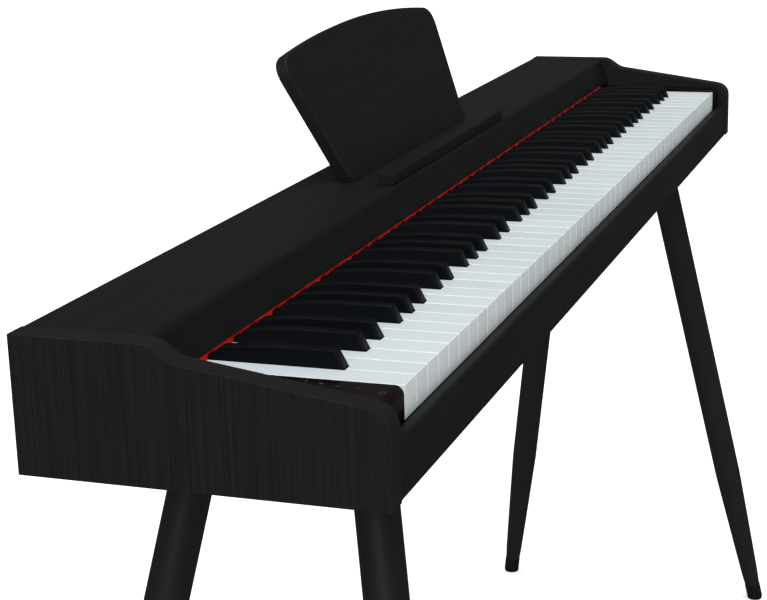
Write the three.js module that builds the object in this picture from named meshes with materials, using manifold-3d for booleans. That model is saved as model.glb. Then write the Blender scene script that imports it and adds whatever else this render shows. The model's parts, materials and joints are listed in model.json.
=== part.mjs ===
// Digital piano on a four-legged stand, in millimetres, +Z up, +X towards the treble, +Y to the back.
// The origin is on the floor, under the middle of the case.
import * as THREE from "three";
import { mergeVertices } from "three/addons/utils/BufferGeometryUtils.js";
import Module from "manifold-3d";

const wasm = await Module();
wasm.setup();

// ---------------------------------------------------------------------------------------------
// Driving dimensions
// ---------------------------------------------------------------------------------------------

// Clearances
const SEAM = 0.3; // between two pieces that touch
const OVERCUT = 1; // how far a cut runs past the faces that it goes through
const KEY_GAP = 1; // between neighbouring white keys
const SHARP_GAP = 1; // between a black key and the white keys around it
const PIVOT_CLEARANCE = 0.3; // between a key's notch and the ridge that it rocks on

// Keyboard
const WHITE_KEYS = 52;
const KEY_PITCH = 23.5;
const KEY_LENGTH = 188;
const KEY_DEPTH = 14; // depth of a key's body behind its front lip
const LIP_HEIGHT = 22.4; // height of a white key's front
const LIP_THICKNESS = 3.5;
const PIVOT_FROM_TAIL = 10; // the ridge that a key rocks on, in front of its back end
const PIVOT_RADIUS = 3;
const SHARP_WIDTH = 10.8;
const SHARP_TOP_WIDTH = 8.2;
const SHARP_HEIGHT = 12;
const SHARP_FRONT = 48.1; // from the white keys' fronts
const SHARP_SLANT = 5.5; // how far the sloping front leans back
const SHARP_LEVEL = 34; // length of the top before it falls away
const SHARP_SHOULDER = 132; // where the top turns down, from the white keys' fronts
const SHARP_SHOULDER_HEIGHT = 9.2;
const SHARP_END = 139.8; // where it has come down to its tail
const SHARP_TAIL_HEIGHT = 2.2;
const BAR_CLEARANCE = 1.5; // between a black key's tail and the white set's bar
const SET_BAR = 4; // thickness of the bar that joins the keys of one moulded set

// Case
const CHEEK_THICKNESS = 19;
const END_BLOCK_WIDTH = 42.3;
const REAR_SPACE = 54; // from the keys' back ends to the back of the case
const CASE_HEIGHT = 94.5;
const KEY_SETBACK = 11.5; // white keys' fronts behind the cheeks' fronts
const KEYS_BELOW_CHEEK = 33.9; // white keys' tops below the cheeks' tops
const TOP_INSET = 1; // top panel below the cheeks' tops
const UNDERSIDE_INSET = 3.5; // bottom panel above the cheeks' lower edges
const TOP_THICKNESS = 15;
const BOTTOM_THICKNESS = 12;
const BACK_THICKNESS = 12;
const FALLBOARD_THICKNESS = 12;
const FALLBOARD_LEAN = 8.2; // how far the fallboard's lower edge stands in front of its upper edge
const FALLBOARD_CLEAR = 4.9; // fallboard's lower edge above the white keys
const FALLBOARD_Y = 161.9; // its upper edge, from the cheeks' fronts
const TOP_EDGE_RADIUS = 6;
const RAIL_THICKNESS = 9;
const RAIL_INSET = 1.2;
const RAIL_BELOW_KEYS = 22; // rail's top below the white keys' tops
const RAIL_RADIUS = 3.5;
const RAIL_DROP = 3.2; // how far the rail reaches below the bottom panel
const FELT_THICKNESS = 3;
const FELT_BACK = 0.3; // felt's face behind the fallboard's front edge
const FELT_OVER_KEYS = 0.4;
const SHARP_SLOT_CLEARANCE = 0.6; // felt around a black key

// Cheek outline: a level top, an S-curve, a slope and a rounded front
const CURVE_BACK = 161.9;
const CURVE_FRONT = 135.3;
const CURVE_DROP = 12;
const SLOPE_END = 15.8;
const SLOPE_DROP = 17.2;
const NOSE_HEIGHT = 16.7;

// Touch panel and end blocks
const PANEL_THICKNESS = 2.4;
const BLOCK_WALL = 3;
const BLOCK_RADIUS = 6;

// Music rest
const REST_TILT = THREE.MathUtils.degToRad(23);
const REST_BASE_WIDTH = 346;
const REST_WIDTH = 412;
const REST_SHOULDER = 108; // where the side turns into the corner
const REST_CORNER = 125.5; // where the corner turns into the arched top
const REST_CORNER_DROP = 2; // the corner's own tip, below where the arch starts
const REST_HEIGHT = 136.5;
const REST_THICKNESS = 11.5;
const REST_BEHIND_EDGE = 41.6; // front face behind the top panel's front edge
const LEDGE_LENGTH = 356;
const LEDGE_DEPTH = 14;
const LEDGE_HEIGHT = 9.7;
const LEDGE_BEHIND_EDGE = 3.1;
const LEDGE_RADIUS = 2;
const PEG_RADIUS = 4;
const PEG_SPACING = 240;
const PEG_IN_REST = 20;
const PEG_IN_TOP = 14;

// Legs
const LEG_HEIGHT = 657.7; // floor to the cheeks' lower edges
const LEG_TOP_X = 526.8;
const LEG_TOP_Y = 60.2;
const FOOT_X = 702.2;
const FOOT_Y = 175.3;
const LEG_RADIUS = 16;
const LEG_STRAIGHT = 0.7; // share of the length before the taper starts
const FOOT_RADIUS = 10.2;
const FOOT_LENGTH = 24;
const FOOT_TIP_RADIUS = 6;
const FOOT_SPARE = 3; // how far a foot's axis runs on before it is cut level with the floor
const BOSS_RADIUS = 19;
const BOSS_LENGTH = 14;
const LEG_CHAMFER = 1;
const SPIGOT_RADIUS = 5;
const SPIGOT_LENGTH = 10;
const LEG_PLATE = 90;
const LEG_PLATE_THICKNESS = 3;

// Key frame and electronics
const FRAME_SHEET = 2;
const FRAME_LIP_HEIGHT = 8;
const SHELF_FRONT = 96;
const SHELF_BACK = 134;
const SHELF_BELOW_KEYS = 23.6;
const BOARD_THICKNESS = 1.6;
const BOARD_MARGIN = 3.8; // between the contact board and its shelf's edges
const CONTACT_WIDTH = 10;
const CONTACT_HEIGHT = 2.4;
const SPEAKER_X = 420;
const SPEAKER_WIDTH = 100;
const SPEAKER_MARGIN = 3.5; // over and under a speaker, inside the case
const SPEAKER_FLANGE = 2;
const CONE_RADIUS = 25;
const CONE_DEPTH = 18;
const MAGNET_RADIUS = 20;
const MAGNET_DEPTH = 10;
const SLOT_WIDTH = 3;
const SLOT_PITCH = 7;
const SLOTS = 9;
const SLOT_HEIGHT = 40;
const MAIN_BOARD = { length: 160, depth: 32, x: -562, rise: 6 };
// What stands on the main board: place along it as a share of its length, width and height
const CHIPS = [
  [-0.25, 16, 2],
  [0, 10.7, 3],
  [0.25, 12.8, 6],
  [0.385, 10.7, 8],
];
const SOCKET_Z = 46; // above the cheeks' lower edges
const SOCKET_X = -560; // middle of the socket plate
const SOCKET_SPACING = 30;
const SOCKET_PLATE = { width: 104, height: 34, thickness: 2.5, overlap: 4 };
const SOCKET_BODY_RADIUS = 7;
const SOCKET_COLLAR_RADIUS = 5.6;
const SOCKET_LENGTH = 22;
const JACK_RADIUS = 3.3;
const INLET_RADIUS = 4;
const INLET_PIN_RADIUS = 1;

// ---------------------------------------------------------------------------------------------
// Places worked out from them, in the case's own frame: y from the cheeks' fronts, z from their
// lower edges, x from the middle
// ---------------------------------------------------------------------------------------------

const KEYBOARD_HALF = (WHITE_KEYS * KEY_PITCH) / 2;
const PIVOT_FROM_FRONT = KEY_LENGTH - PIVOT_FROM_TAIL;
const CASE_DEPTH = KEY_SETBACK + KEY_LENGTH + REAR_SPACE;
const CASE_INSIDE = KEYBOARD_HALF + END_BLOCK_WIDTH; // half the length between the cheeks
const PANEL_HALF = CASE_INSIDE - SEAM;
const KEY_TOP = CASE_HEIGHT - KEYS_BELOW_CHEEK;
const TOP_SURFACE = CASE_HEIGHT - TOP_INSET;
const TOP_UNDERSIDE = TOP_SURFACE - TOP_THICKNESS;
const FLOOR_INSIDE = UNDERSIDE_INSET + BOTTOM_THICKNESS;
const BACK_INSIDE = CASE_DEPTH - BACK_THICKNESS;
const RAIL_BACK = RAIL_INSET + RAIL_THICKNESS;
const RAIL_TOP = KEY_TOP - RAIL_BELOW_KEYS;
const RAIL_BOTTOM = UNDERSIDE_INSET - RAIL_DROP;
const SPEAKER_HEIGHT = TOP_UNDERSIDE - FLOOR_INSIDE - 2 * SPEAKER_MARGIN;
const FALLBOARD_BOTTOM = KEY_TOP + FALLBOARD_CLEAR;
const FRAME_BOTTOM = FLOOR_INSIDE + SEAM - KEY_TOP; // from the white keys' tops
const PIVOT_Z = -KEY_DEPTH;

// ---------------------------------------------------------------------------------------------
// Materials
// ---------------------------------------------------------------------------------------------

const material = (color, roughness, metalness = 0) =>
  new THREE.MeshStandardMaterial({ color, roughness, metalness });
const laminate = material(0x1f1f20, 0.62);
const whitePlastic = material(0xe9edf2, 0.3);
const blackPlastic = material(0x16181c, 0.35);
const darkPlastic = material(0x232122, 0.5);
const glossPanel = material(0x1d1412, 0.12);
const felt = material(0xc81a10, 0.95);
const legPaint = material(0x1c1c1d, 0.5);
const footRubber = material(0x0e0e0f, 0.8);
const steel = material(0x8f9296, 0.4, 1);
const circuitBoard = material(0x1d5a35, 0.5);
const beech = material(0xb98d5b, 0.6);

// ---------------------------------------------------------------------------------------------
// Solids
// ---------------------------------------------------------------------------------------------

// A closed geometry as a solid that can be joined and cut.
function solidOf(geometry) {
  const bare = geometry.clone();
  bare.deleteAttribute("normal");
  bare.deleteAttribute("uv");
  const merged = mergeVertices(bare, 1e-4);
  return new wasm.Manifold(
    new wasm.Mesh({
      numProp: 3,
      vertProperties: merged.attributes.position.array,
      triVerts: new Uint32Array(merged.index.array),
    }),
  );
}

// A solid as a geometry.
function geometryOf(solid) {
  const mesh = solid.getMesh();
  const geometry = new THREE.BufferGeometry();
  geometry.setAttribute("position", new THREE.BufferAttribute(mesh.vertProperties, 3));
  geometry.setIndex(new THREE.BufferAttribute(mesh.triVerts, 1));
  return geometry;
}

const union = (solids) => solids.reduce((joined, next) => joined.add(next));

// A box between two corners.
function box(low, high) {
  const size = high.map((value, i) => value - low[i]);
  const middle = high.map((value, i) => (value + low[i]) / 2);
  return solidOf(new THREE.BoxGeometry(...size).translate(...middle));
}

// A (y, z) outline drawn out along x, from x0 to x1.
function drawnAlongX(outline, x0, x1, curveSegments = 6) {
  const options = { depth: x1 - x0, bevelEnabled: false, curveSegments };
  const geometry = new THREE.ExtrudeGeometry(outline, options);
  const yzToX = new THREE.Matrix4().makeBasis(
    new THREE.Vector3(0, 1, 0),
    new THREE.Vector3(0, 0, 1),
    new THREE.Vector3(1, 0, 0),
  );
  return geometry.applyMatrix4(yzToX).translate(x0, 0, 0);
}

// An (x, y) outline drawn up from z0 to z1.
function drawnUp(outline, z0, z1, curveSegments = 6) {
  const options = { depth: z1 - z0, bevelEnabled: false, curveSegments };
  return new THREE.ExtrudeGeometry(outline, options).translate(0, 0, z0);
}

const polygon = (points) => new THREE.Shape(points.map(([u, v]) => new THREE.Vector2(u, v)));

// A rod of the given radius along x.
function rodAlongX(radius, x0, x1, y, z, sides = 16) {
  const geometry = new THREE.CylinderGeometry(radius, radius, x1 - x0, sides);
  return solidOf(geometry.rotateZ(Math.PI / 2).translate((x0 + x1) / 2, y, z));
}

// A turned piece: (radius, height) points from the axis round to the axis, turned about z.
function turned(points, sides = 24) {
  const profile = points.map(([radius, height]) => new THREE.Vector2(radius, height));
  return new THREE.LatheGeometry(profile, sides).rotateX(Math.PI / 2);
}

function place(parent, name, geometry, finish, position = [0, 0, 0]) {
  const mesh = new THREE.Mesh(geometry, finish);
  mesh.name = name;
  mesh.position.set(...position);
  parent.add(mesh);
  return mesh;
}

// ---------------------------------------------------------------------------------------------
// Keys, in the keyboard's frame: y from the white keys' fronts, z from their tops
// ---------------------------------------------------------------------------------------------

const NOTES = ["c", "d", "e", "f", "g", "a", "b"];
const OCTAVE = NOTES.length;
const LOW_KEYS = 2; // A0 and B0, below the first C
const OCTAVES = 7;
const OPEN_OCTAVE = 4; // the octave whose keys are separate nodes
// Each black key's middle, in white-key widths from its octave's left edge
const SHARPS = { c: 0.9, d: 2.1, f: 3.857, g: 5, a: 6.143 };

const octaveLeft = (octave) => -KEYBOARD_HALF + (LOW_KEYS + (octave - 1) * OCTAVE) * KEY_PITCH;
const isOnKeyboard = (x) => Math.abs(x) < KEYBOARD_HALF - KEY_PITCH / 2;

// The middle of the black key after a note, or undefined where there is none.
function sharpAfter(note, octave) {
  if (!(note in SHARPS)) return undefined;
  const x = octaveLeft(octave) + SHARPS[note] * KEY_PITCH;
  return isOnKeyboard(x) ? x : undefined;
}

// Takes the notch for the fulcrum ridge out of keys that reach from x0 to x1.
function withNotch(solid, x0, x1) {
  const radius = PIVOT_RADIUS + PIVOT_CLEARANCE;
  return solid.subtract(rodAlongX(radius, x0, x1, PIVOT_FROM_FRONT, PIVOT_Z));
}

const whiteSide = polygon([
  [0, 0],
  [0, -LIP_HEIGHT],
  [LIP_THICKNESS, -LIP_HEIGHT],
  [LIP_THICKNESS, -KEY_DEPTH],
  [KEY_LENGTH, -KEY_DEPTH],
  [KEY_LENGTH, 0],
]);

function whiteKey(note, octave) {
  const step = NOTES.indexOf(note);
  const left = octaveLeft(octave) + step * KEY_PITCH;
  const x0 = left + KEY_GAP / 2;
  const x1 = left + KEY_PITCH - KEY_GAP / 2;
  const before = step > 0 ? sharpAfter(NOTES[step - 1], octave) : undefined;
  const after = sharpAfter(note, octave);
  const reach = SHARP_WIDTH / 2 + SHARP_GAP;
  const tail0 = before === undefined ? x0 : Math.max(x0, before + reach);
  const tail1 = after === undefined ? x1 : Math.min(x1, after - reach);
  const neck = SHARP_FRONT - SHARP_GAP;
  const outline = polygon([
    [x0, 0],
    [x1, 0],
    [x1, neck],
    [tail1, neck],
    [tail1, KEY_LENGTH],
    [tail0, KEY_LENGTH],
    [tail0, neck],
    [x0, neck],
  ]);
  const plan = solidOf(drawnUp(outline, -LIP_HEIGHT, 0));
  const side = solidOf(drawnAlongX(whiteSide, x0, x1));
  return withNotch(plan.intersect(side), x0, x1);
}

const SHARP_LENGTH = KEY_LENGTH - SET_BAR - BAR_CLEARANCE;
const FALLBOARD_FROM_KEYS = FALLBOARD_Y - FALLBOARD_LEAN - KEY_SETBACK;
// The round end of a black key's top, down to its tail
const sharpEnd = new THREE.QuadraticBezierCurve(
  new THREE.Vector2(SHARP_END, SHARP_TAIL_HEIGHT),
  new THREE.Vector2(
    (2 * SHARP_END + SHARP_SHOULDER) / 3,
    (9 * SHARP_SHOULDER_HEIGHT + SHARP_TAIL_HEIGHT) / 10,
  ),
  new THREE.Vector2(SHARP_SHOULDER, SHARP_SHOULDER_HEIGHT),
);
const sharpSide = polygon([
  [SHARP_FRONT, -KEY_DEPTH],
  [SHARP_LENGTH, -KEY_DEPTH],
  [SHARP_LENGTH, SHARP_TAIL_HEIGHT],
  ...sharpEnd.getPoints(4).map((point) => point.toArray()),
  [SHARP_FRONT + SHARP_SLANT + SHARP_LEVEL, SHARP_HEIGHT],
  [SHARP_FRONT + SHARP_SLANT, SHARP_HEIGHT],
  [SHARP_FRONT, 0],
]);

function blackKey(x) {
  const half = SHARP_WIDTH / 2;
  const halfTop = SHARP_TOP_WIDTH / 2;
  const side = solidOf(drawnAlongX(sharpSide, x - half, x + half));
  // Seen from the front, the sides are upright in the keyboard and lean in above it.
  const across = new THREE.ExtrudeGeometry(
    polygon([
      [x - half, -KEY_DEPTH],
      [x + half, -KEY_DEPTH],
      [x + half, 0],
      [x + halfTop, SHARP_HEIGHT],
      [x - halfTop, SHARP_HEIGHT],
      [x - half, 0],
    ]),
    { depth: SHARP_LENGTH - SHARP_FRONT, bevelEnabled: false },
  );
  const front = solidOf(across.rotateX(Math.PI / 2).translate(0, SHARP_LENGTH, 0));
  return withNotch(side.intersect(front), x - half, x + half);
}

// The white keys of one octave as one moulding, joined behind the ridge.
function whiteSet(octave) {
  const keys = NOTES.map((note) => whiteKey(note, octave));
  let x0 = octaveLeft(octave) + KEY_GAP / 2;
  let x1 = octaveLeft(octave + 1) - KEY_GAP / 2;
  if (octave === 1) {
    keys.push(...NOTES.slice(-LOW_KEYS).map((note) => whiteKey(note, 0)));
    x0 -= LOW_KEYS * KEY_PITCH;
  }
  if (octave === OCTAVES) {
    keys.push(whiteKey(NOTES[0], octave + 1));
    x1 += KEY_PITCH;
  }
  const bar = box([x0, KEY_LENGTH - SET_BAR, -KEY_DEPTH], [x1, KEY_LENGTH, 0]);
  return union([...keys, bar]);
}

// The black keys of one octave as one moulding, joined over the white keys' tails.
function blackSet(octave) {
  const places = Object.keys(SHARPS).map((note) => sharpAfter(note, octave));
  if (octave === 1) places.unshift(sharpAfter("a", 0));
  const bar = box(
    [places[0], PIVOT_FROM_FRONT - SET_BAR, SHARP_GAP],
    [places[places.length - 1], PIVOT_FROM_FRONT + SET_BAR, SHARP_TAIL_HEIGHT],
  );
  return union([...places.map(blackKey), bar]);
}

function addKeys(parent) {
  for (let octave = 1; octave <= OCTAVES; octave += 1) {
    if (octave !== OPEN_OCTAVE) {
      place(parent, `white_keys_octave_${octave}`, geometryOf(whiteSet(octave)), whitePlastic);
      place(parent, `black_keys_octave_${octave}`, geometryOf(blackSet(octave)), blackPlastic);
      continue;
    }
    for (const note of NOTES) {
      place(parent, `key_${note}${octave}`, geometryOf(whiteKey(note, octave)), whitePlastic);
      const sharp = sharpAfter(note, octave);
      if (sharp === undefined) continue;
      place(parent, `key_${note}_sharp${octave}`, geometryOf(blackKey(sharp)), blackPlastic);
    }
  }
}

// ---------------------------------------------------------------------------------------------
// Key frame, contact board and felt, in the keyboard's frame
// ---------------------------------------------------------------------------------------------

function keyFrame() {
  const half = KEYBOARD_HALF - SEAM;
  const shelfTop = -SHELF_BELOW_KEYS;
  const sheet = (y0, y1, z0, z1) => box([-half, y0, z0], [half, y1, z1]);
  const front = LIP_THICKNESS + SEAM;
  const ridge = PIVOT_FROM_FRONT - FRAME_SHEET / 2;
  return union([
    sheet(front, KEY_LENGTH, FRAME_BOTTOM, FRAME_BOTTOM + FRAME_SHEET),
    sheet(front, front + FRAME_SHEET, FRAME_BOTTOM, FRAME_BOTTOM + FRAME_LIP_HEIGHT),
    sheet(SHELF_FRONT, SHELF_FRONT + FRAME_SHEET, FRAME_BOTTOM, shelfTop),
    sheet(SHELF_BACK - FRAME_SHEET, SHELF_BACK, FRAME_BOTTOM, shelfTop),
    sheet(SHELF_FRONT, SHELF_BACK, shelfTop - FRAME_SHEET, shelfTop),
    sheet(ridge, ridge + FRAME_SHEET, FRAME_BOTTOM, PIVOT_Z),
    rodAlongX(PIVOT_RADIUS, -half, half, PIVOT_FROM_FRONT, PIVOT_Z),
  ]);
}

function contactBoard() {
  const half = KEYBOARD_HALF - 3 * SEAM;
  const low = -SHELF_BELOW_KEYS + SEAM;
  const high = low + BOARD_THICKNESS;
  const middle = (SHELF_FRONT + SHELF_BACK) / 2;
  const board = box(
    [-half, SHELF_FRONT + BOARD_MARGIN, low],
    [half, SHELF_BACK - BOARD_MARGIN, high],
  );
  const strip = box(
    [-half, middle - CONTACT_WIDTH / 2, high - SEAM],
    [half, middle + CONTACT_WIDTH / 2, high + CONTACT_HEIGHT],
  );
  return board.add(strip);
}

function keyFelt() {
  const half = KEYBOARD_HALF - SEAM;
  const front = FALLBOARD_FROM_KEYS + FELT_BACK;
  const top = FALLBOARD_CLEAR - SEAM;
  let strip = box([-half, front, FELT_OVER_KEYS], [half, front + FELT_THICKNESS, top]);
  for (let octave = 0; octave <= OCTAVES; octave += 1)
    for (const note of Object.keys(SHARPS)) {
      const x = sharpAfter(note, octave);
      if (x === undefined) continue;
      const reach = SHARP_WIDTH / 2 + SHARP_SLOT_CLEARANCE;
      const slot = box(
        [x - reach, front - OVERCUT, 0],
        [x + reach, front + FELT_THICKNESS + OVERCUT, SHARP_TAIL_HEIGHT + SHARP_SLOT_CLEARANCE],
      );
      strip = strip.subtract(slot);
    }
  return strip;
}

// ---------------------------------------------------------------------------------------------
// Case, in its own frame
// ---------------------------------------------------------------------------------------------

function cheekOutline() {
  const curveLow = CASE_HEIGHT - CURVE_DROP;
  const slopeLow = curveLow - SLOPE_DROP;
  const fall = SLOPE_DROP / (CURVE_FRONT - SLOPE_END);
  const third = (CURVE_BACK - CURVE_FRONT) / 2.4;
  const outline = new THREE.Shape();
  outline.moveTo(0, 0);
  outline.lineTo(CASE_DEPTH, 0);
  outline.lineTo(CASE_DEPTH, CASE_HEIGHT);
  outline.lineTo(CURVE_BACK, CASE_HEIGHT);
  outline.bezierCurveTo(
    CURVE_BACK - third,
    CASE_HEIGHT,
    CURVE_FRONT + third,
    curveLow + third * fall,
    CURVE_FRONT,
    curveLow,
  );
  outline.lineTo(SLOPE_END, slopeLow);
  outline.quadraticCurveTo(0, slopeLow - SLOPE_END * fall, 0, slopeLow - NOSE_HEIGHT);
  outline.closePath();
  return outline;
}

// The top panel and the fallboard meet in a mitre that starts on their shared rounded edge.
const MITRE = {
  y: FALLBOARD_Y + TOP_EDGE_RADIUS * (1 - Math.SQRT1_2),
  z: TOP_SURFACE - TOP_EDGE_RADIUS * (1 - Math.SQRT1_2),
};

function topPanelOutline() {
  const outline = new THREE.Shape();
  outline.moveTo(MITRE.y + SEAM, MITRE.z + SEAM / 2);
  outline.lineTo(FALLBOARD_Y + FALLBOARD_THICKNESS + SEAM, TOP_UNDERSIDE);
  outline.lineTo(CASE_DEPTH, TOP_UNDERSIDE);
  outline.lineTo(CASE_DEPTH, TOP_SURFACE);
  outline.lineTo(FALLBOARD_Y + TOP_EDGE_RADIUS, TOP_SURFACE);
  outline.closePath();
  return outline;
}

function fallboardOutline() {
  const front = FALLBOARD_Y - FALLBOARD_LEAN;
  const outline = new THREE.Shape();
  outline.moveTo(front, FALLBOARD_BOTTOM);
  outline.lineTo(front + FALLBOARD_THICKNESS, FALLBOARD_BOTTOM);
  outline.lineTo(FALLBOARD_Y + FALLBOARD_THICKNESS, TOP_UNDERSIDE);
  outline.lineTo(MITRE.y, MITRE.z);
  outline.quadraticCurveTo(
    FALLBOARD_Y,
    TOP_SURFACE - TOP_EDGE_RADIUS / 2,
    FALLBOARD_Y,
    TOP_SURFACE - TOP_EDGE_RADIUS,
  );
  outline.closePath();
  return outline;
}

function railOutline() {
  const outline = new THREE.Shape();
  outline.moveTo(RAIL_INSET, RAIL_BOTTOM);
  outline.lineTo(RAIL_BACK, RAIL_BOTTOM);
  outline.lineTo(RAIL_BACK, RAIL_TOP);
  outline.lineTo(RAIL_INSET + RAIL_RADIUS, RAIL_TOP);
  const middle = RAIL_INSET + RAIL_RADIUS;
  outline.absarc(middle, RAIL_TOP - RAIL_RADIUS, RAIL_RADIUS, Math.PI / 2, Math.PI);
  outline.closePath();
  return outline;
}

const HANDS = [
  [-1, "left"],
  [1, "right"],
];

// The line that the rest's pegs lie on, as a turn about x: upright, then leaning back.
const leaning = (geometry) => geometry.rotateX(-REST_TILT);

const REST_Y = FALLBOARD_Y + REST_BEHIND_EDGE;
const REST_Z = TOP_SURFACE + SEAM;

function topPanel() {
  let panel = solidOf(drawnAlongX(topPanelOutline(), -PANEL_HALF, PANEL_HALF));
  for (const side of [-1, 1]) {
    const radius = PEG_RADIUS + SEAM;
    const hole = new THREE.CylinderGeometry(radius, radius, 4 * TOP_THICKNESS, 16);
    hole.rotateX(Math.PI / 2).translate(0, REST_THICKNESS / 2, 0);
    leaning(hole).translate((side * PEG_SPACING) / 2, REST_Y, REST_Z);
    panel = panel.subtract(solidOf(hole));
  }
  return panel;
}

function backPanel() {
  const top = TOP_UNDERSIDE - SEAM;
  const low = [-PANEL_HALF, BACK_INSIDE, UNDERSIDE_INSET];
  let panel = box(low, [PANEL_HALF, CASE_DEPTH, top]);
  const middle = (FLOOR_INSIDE + TOP_UNDERSIDE) / 2;
  const reach = (SLOTS - 1) / 2;
  for (const side of [-1, 1])
    for (let slot = -reach; slot <= reach; slot += 1) {
      const x = side * SPEAKER_X + slot * SLOT_PITCH;
      // The slots follow a circle, so the outer ones are shorter.
      const half = (SLOT_HEIGHT / 2) * Math.sqrt(1 - (slot / (reach + 1)) ** 2);
      const cut = box(
        [x - SLOT_WIDTH / 2, BACK_INSIDE - OVERCUT, middle - half],
        [x + SLOT_WIDTH / 2, CASE_DEPTH + OVERCUT, middle + half],
      );
      panel = panel.subtract(cut);
    }
  const { width, height, overlap } = SOCKET_PLATE;
  const halfWidth = width / 2 - overlap;
  const halfHeight = height / 2 - overlap;
  const opening = box(
    [SOCKET_X - halfWidth, BACK_INSIDE - OVERCUT, SOCKET_Z - halfHeight],
    [SOCKET_X + halfWidth, CASE_DEPTH + OVERCUT, SOCKET_Z + halfHeight],
  );
  return panel.subtract(opening);
}

// The touch panel: a thin cover over the left block's top, rolled over its front edge.
function touchPanelOutline() {
  const back = FALLBOARD_FROM_KEYS - SEAM;
  const low = RAIL_TOP - KEY_TOP + SEAM;
  const inner = BLOCK_RADIUS - PANEL_THICKNESS;
  const outline = new THREE.Shape();
  outline.moveTo(back, 0);
  outline.lineTo(BLOCK_RADIUS, 0);
  outline.absarc(BLOCK_RADIUS, -BLOCK_RADIUS, BLOCK_RADIUS, Math.PI / 2, Math.PI);
  outline.lineTo(0, low);
  outline.lineTo(PANEL_THICKNESS, low);
  outline.lineTo(PANEL_THICKNESS, -BLOCK_RADIUS);
  outline.absarc(BLOCK_RADIUS, -BLOCK_RADIUS, inner, Math.PI, Math.PI / 2, true);
  outline.lineTo(back, -PANEL_THICKNESS);
  outline.closePath();
  return outline;
}

// An end block: a moulded shell, open underneath, with a step that meets the fallboard.
// `cover` is the thickness of whatever lies over its top and front.
function endBlock(x0, x1, cover) {
  const inset = cover === 0 ? 0 : cover + SEAM;
  const radius = BLOCK_RADIUS - cover;
  const step = FALLBOARD_FROM_KEYS;
  const stepTop = FALLBOARD_CLEAR - SEAM;
  const shell = (wall) => {
    const outline = new THREE.Shape();
    const front = inset + wall;
    const top = -inset - wall;
    const low = wall > 0 ? FRAME_BOTTOM - OVERCUT : FRAME_BOTTOM;
    outline.moveTo(front, low);
    outline.lineTo(KEY_LENGTH - wall, low);
    outline.lineTo(KEY_LENGTH - wall, stepTop - wall);
    outline.lineTo(step + wall, stepTop - wall);
    outline.lineTo(step + wall, top);
    outline.lineTo(front + radius, top);
    outline.quadraticCurveTo(front, top, front, top - radius);
    outline.closePath();
    return outline;
  };
  const outside = solidOf(drawnAlongX(shell(0), x0, x1));
  const inside = solidOf(drawnAlongX(shell(BLOCK_WALL), x0 + BLOCK_WALL, x1 - BLOCK_WALL));
  return outside.subtract(inside);
}

function addCase(parent) {
  const cheek = drawnAlongX(cheekOutline(), 0, CHEEK_THICKNESS, 10);
  place(parent, "left_cheek", cheek, laminate, [-CASE_INSIDE - CHEEK_THICKNESS, 0, 0]);
  place(parent, "right_cheek", cheek, laminate, [CASE_INSIDE, 0, 0]);
  place(parent, "top_panel", geometryOf(topPanel()), laminate);
  place(parent, "fallboard", drawnAlongX(fallboardOutline(), -PANEL_HALF, PANEL_HALF), laminate);
  place(parent, "front_rail", drawnAlongX(railOutline(), -PANEL_HALF, PANEL_HALF), laminate);
  const bottom = box(
    [-PANEL_HALF, RAIL_BACK + SEAM, UNDERSIDE_INSET],
    [PANEL_HALF, BACK_INSIDE - SEAM, FLOOR_INSIDE],
  );
  place(parent, "bottom_panel", geometryOf(bottom), laminate);
  place(parent, "back_panel", geometryOf(backPanel()), laminate);
}

function addKeyboard(parent) {
  const keyboard = new THREE.Group();
  keyboard.position.set(0, KEY_SETBACK, KEY_TOP);
  parent.add(keyboard);
  place(keyboard, "key_frame", geometryOf(keyFrame()), steel);
  place(keyboard, "contact_board", geometryOf(contactBoard()), circuitBoard);
  place(keyboard, "key_felt", geometryOf(keyFelt()), felt);
  const inner = KEYBOARD_HALF + SEAM;
  const panel = drawnAlongX(touchPanelOutline(), -PANEL_HALF, -inner);
  place(keyboard, "touch_panel", panel, glossPanel);
  const left = endBlock(-PANEL_HALF, -inner, PANEL_THICKNESS);
  place(keyboard, "left_end_block", geometryOf(left), darkPlastic);
  const right = endBlock(inner, PANEL_HALF, 0);
  place(keyboard, "right_end_block", geometryOf(right), darkPlastic);
  addKeys(keyboard);
}

// ---------------------------------------------------------------------------------------------
// Music rest: leaning board on two pegs, and the ledge in front of it
// ---------------------------------------------------------------------------------------------

function restOutline() {
  const base = REST_BASE_WIDTH / 2;
  const wide = REST_WIDTH / 2;
  const flare = (wide - base) / REST_SHOULDER;
  const below = REST_THICKNESS; // cut off level with the top panel afterwards
  const arch = 2 * REST_HEIGHT - REST_CORNER;
  const corner = REST_CORNER - REST_SHOULDER;
  const outline = new THREE.Shape();
  outline.moveTo(-base + flare * below, -below);
  outline.lineTo(base - flare * below, -below);
  outline.lineTo(wide, REST_SHOULDER);
  const tip = REST_CORNER - REST_CORNER_DROP;
  outline.quadraticCurveTo(wide + flare * corner, tip, wide - corner, REST_CORNER);
  outline.quadraticCurveTo(0, arch, -wide + corner, REST_CORNER);
  outline.quadraticCurveTo(-wide - flare * corner, tip, -wide, REST_SHOULDER);
  outline.closePath();
  return outline;
}

function restPanel() {
  const options = { depth: REST_THICKNESS, bevelEnabled: false, curveSegments: 12 };
  const board = new THREE.ExtrudeGeometry(restOutline(), options);
  board.rotateX(Math.PI / 2).translate(0, REST_THICKNESS, 0);
  let panel = solidOf(leaning(board));
  const under = box([-REST_WIDTH, -REST_WIDTH, -REST_WIDTH], [REST_WIDTH, REST_WIDTH, 0]);
  panel = panel.subtract(under);
  for (const side of [-1, 1]) {
    const hole = peg(PEG_RADIUS + SEAM, PEG_IN_REST + SEAM);
    panel = panel.subtract(solidOf(hole.translate((side * PEG_SPACING) / 2, 0, 0)));
  }
  return panel;
}

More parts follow.
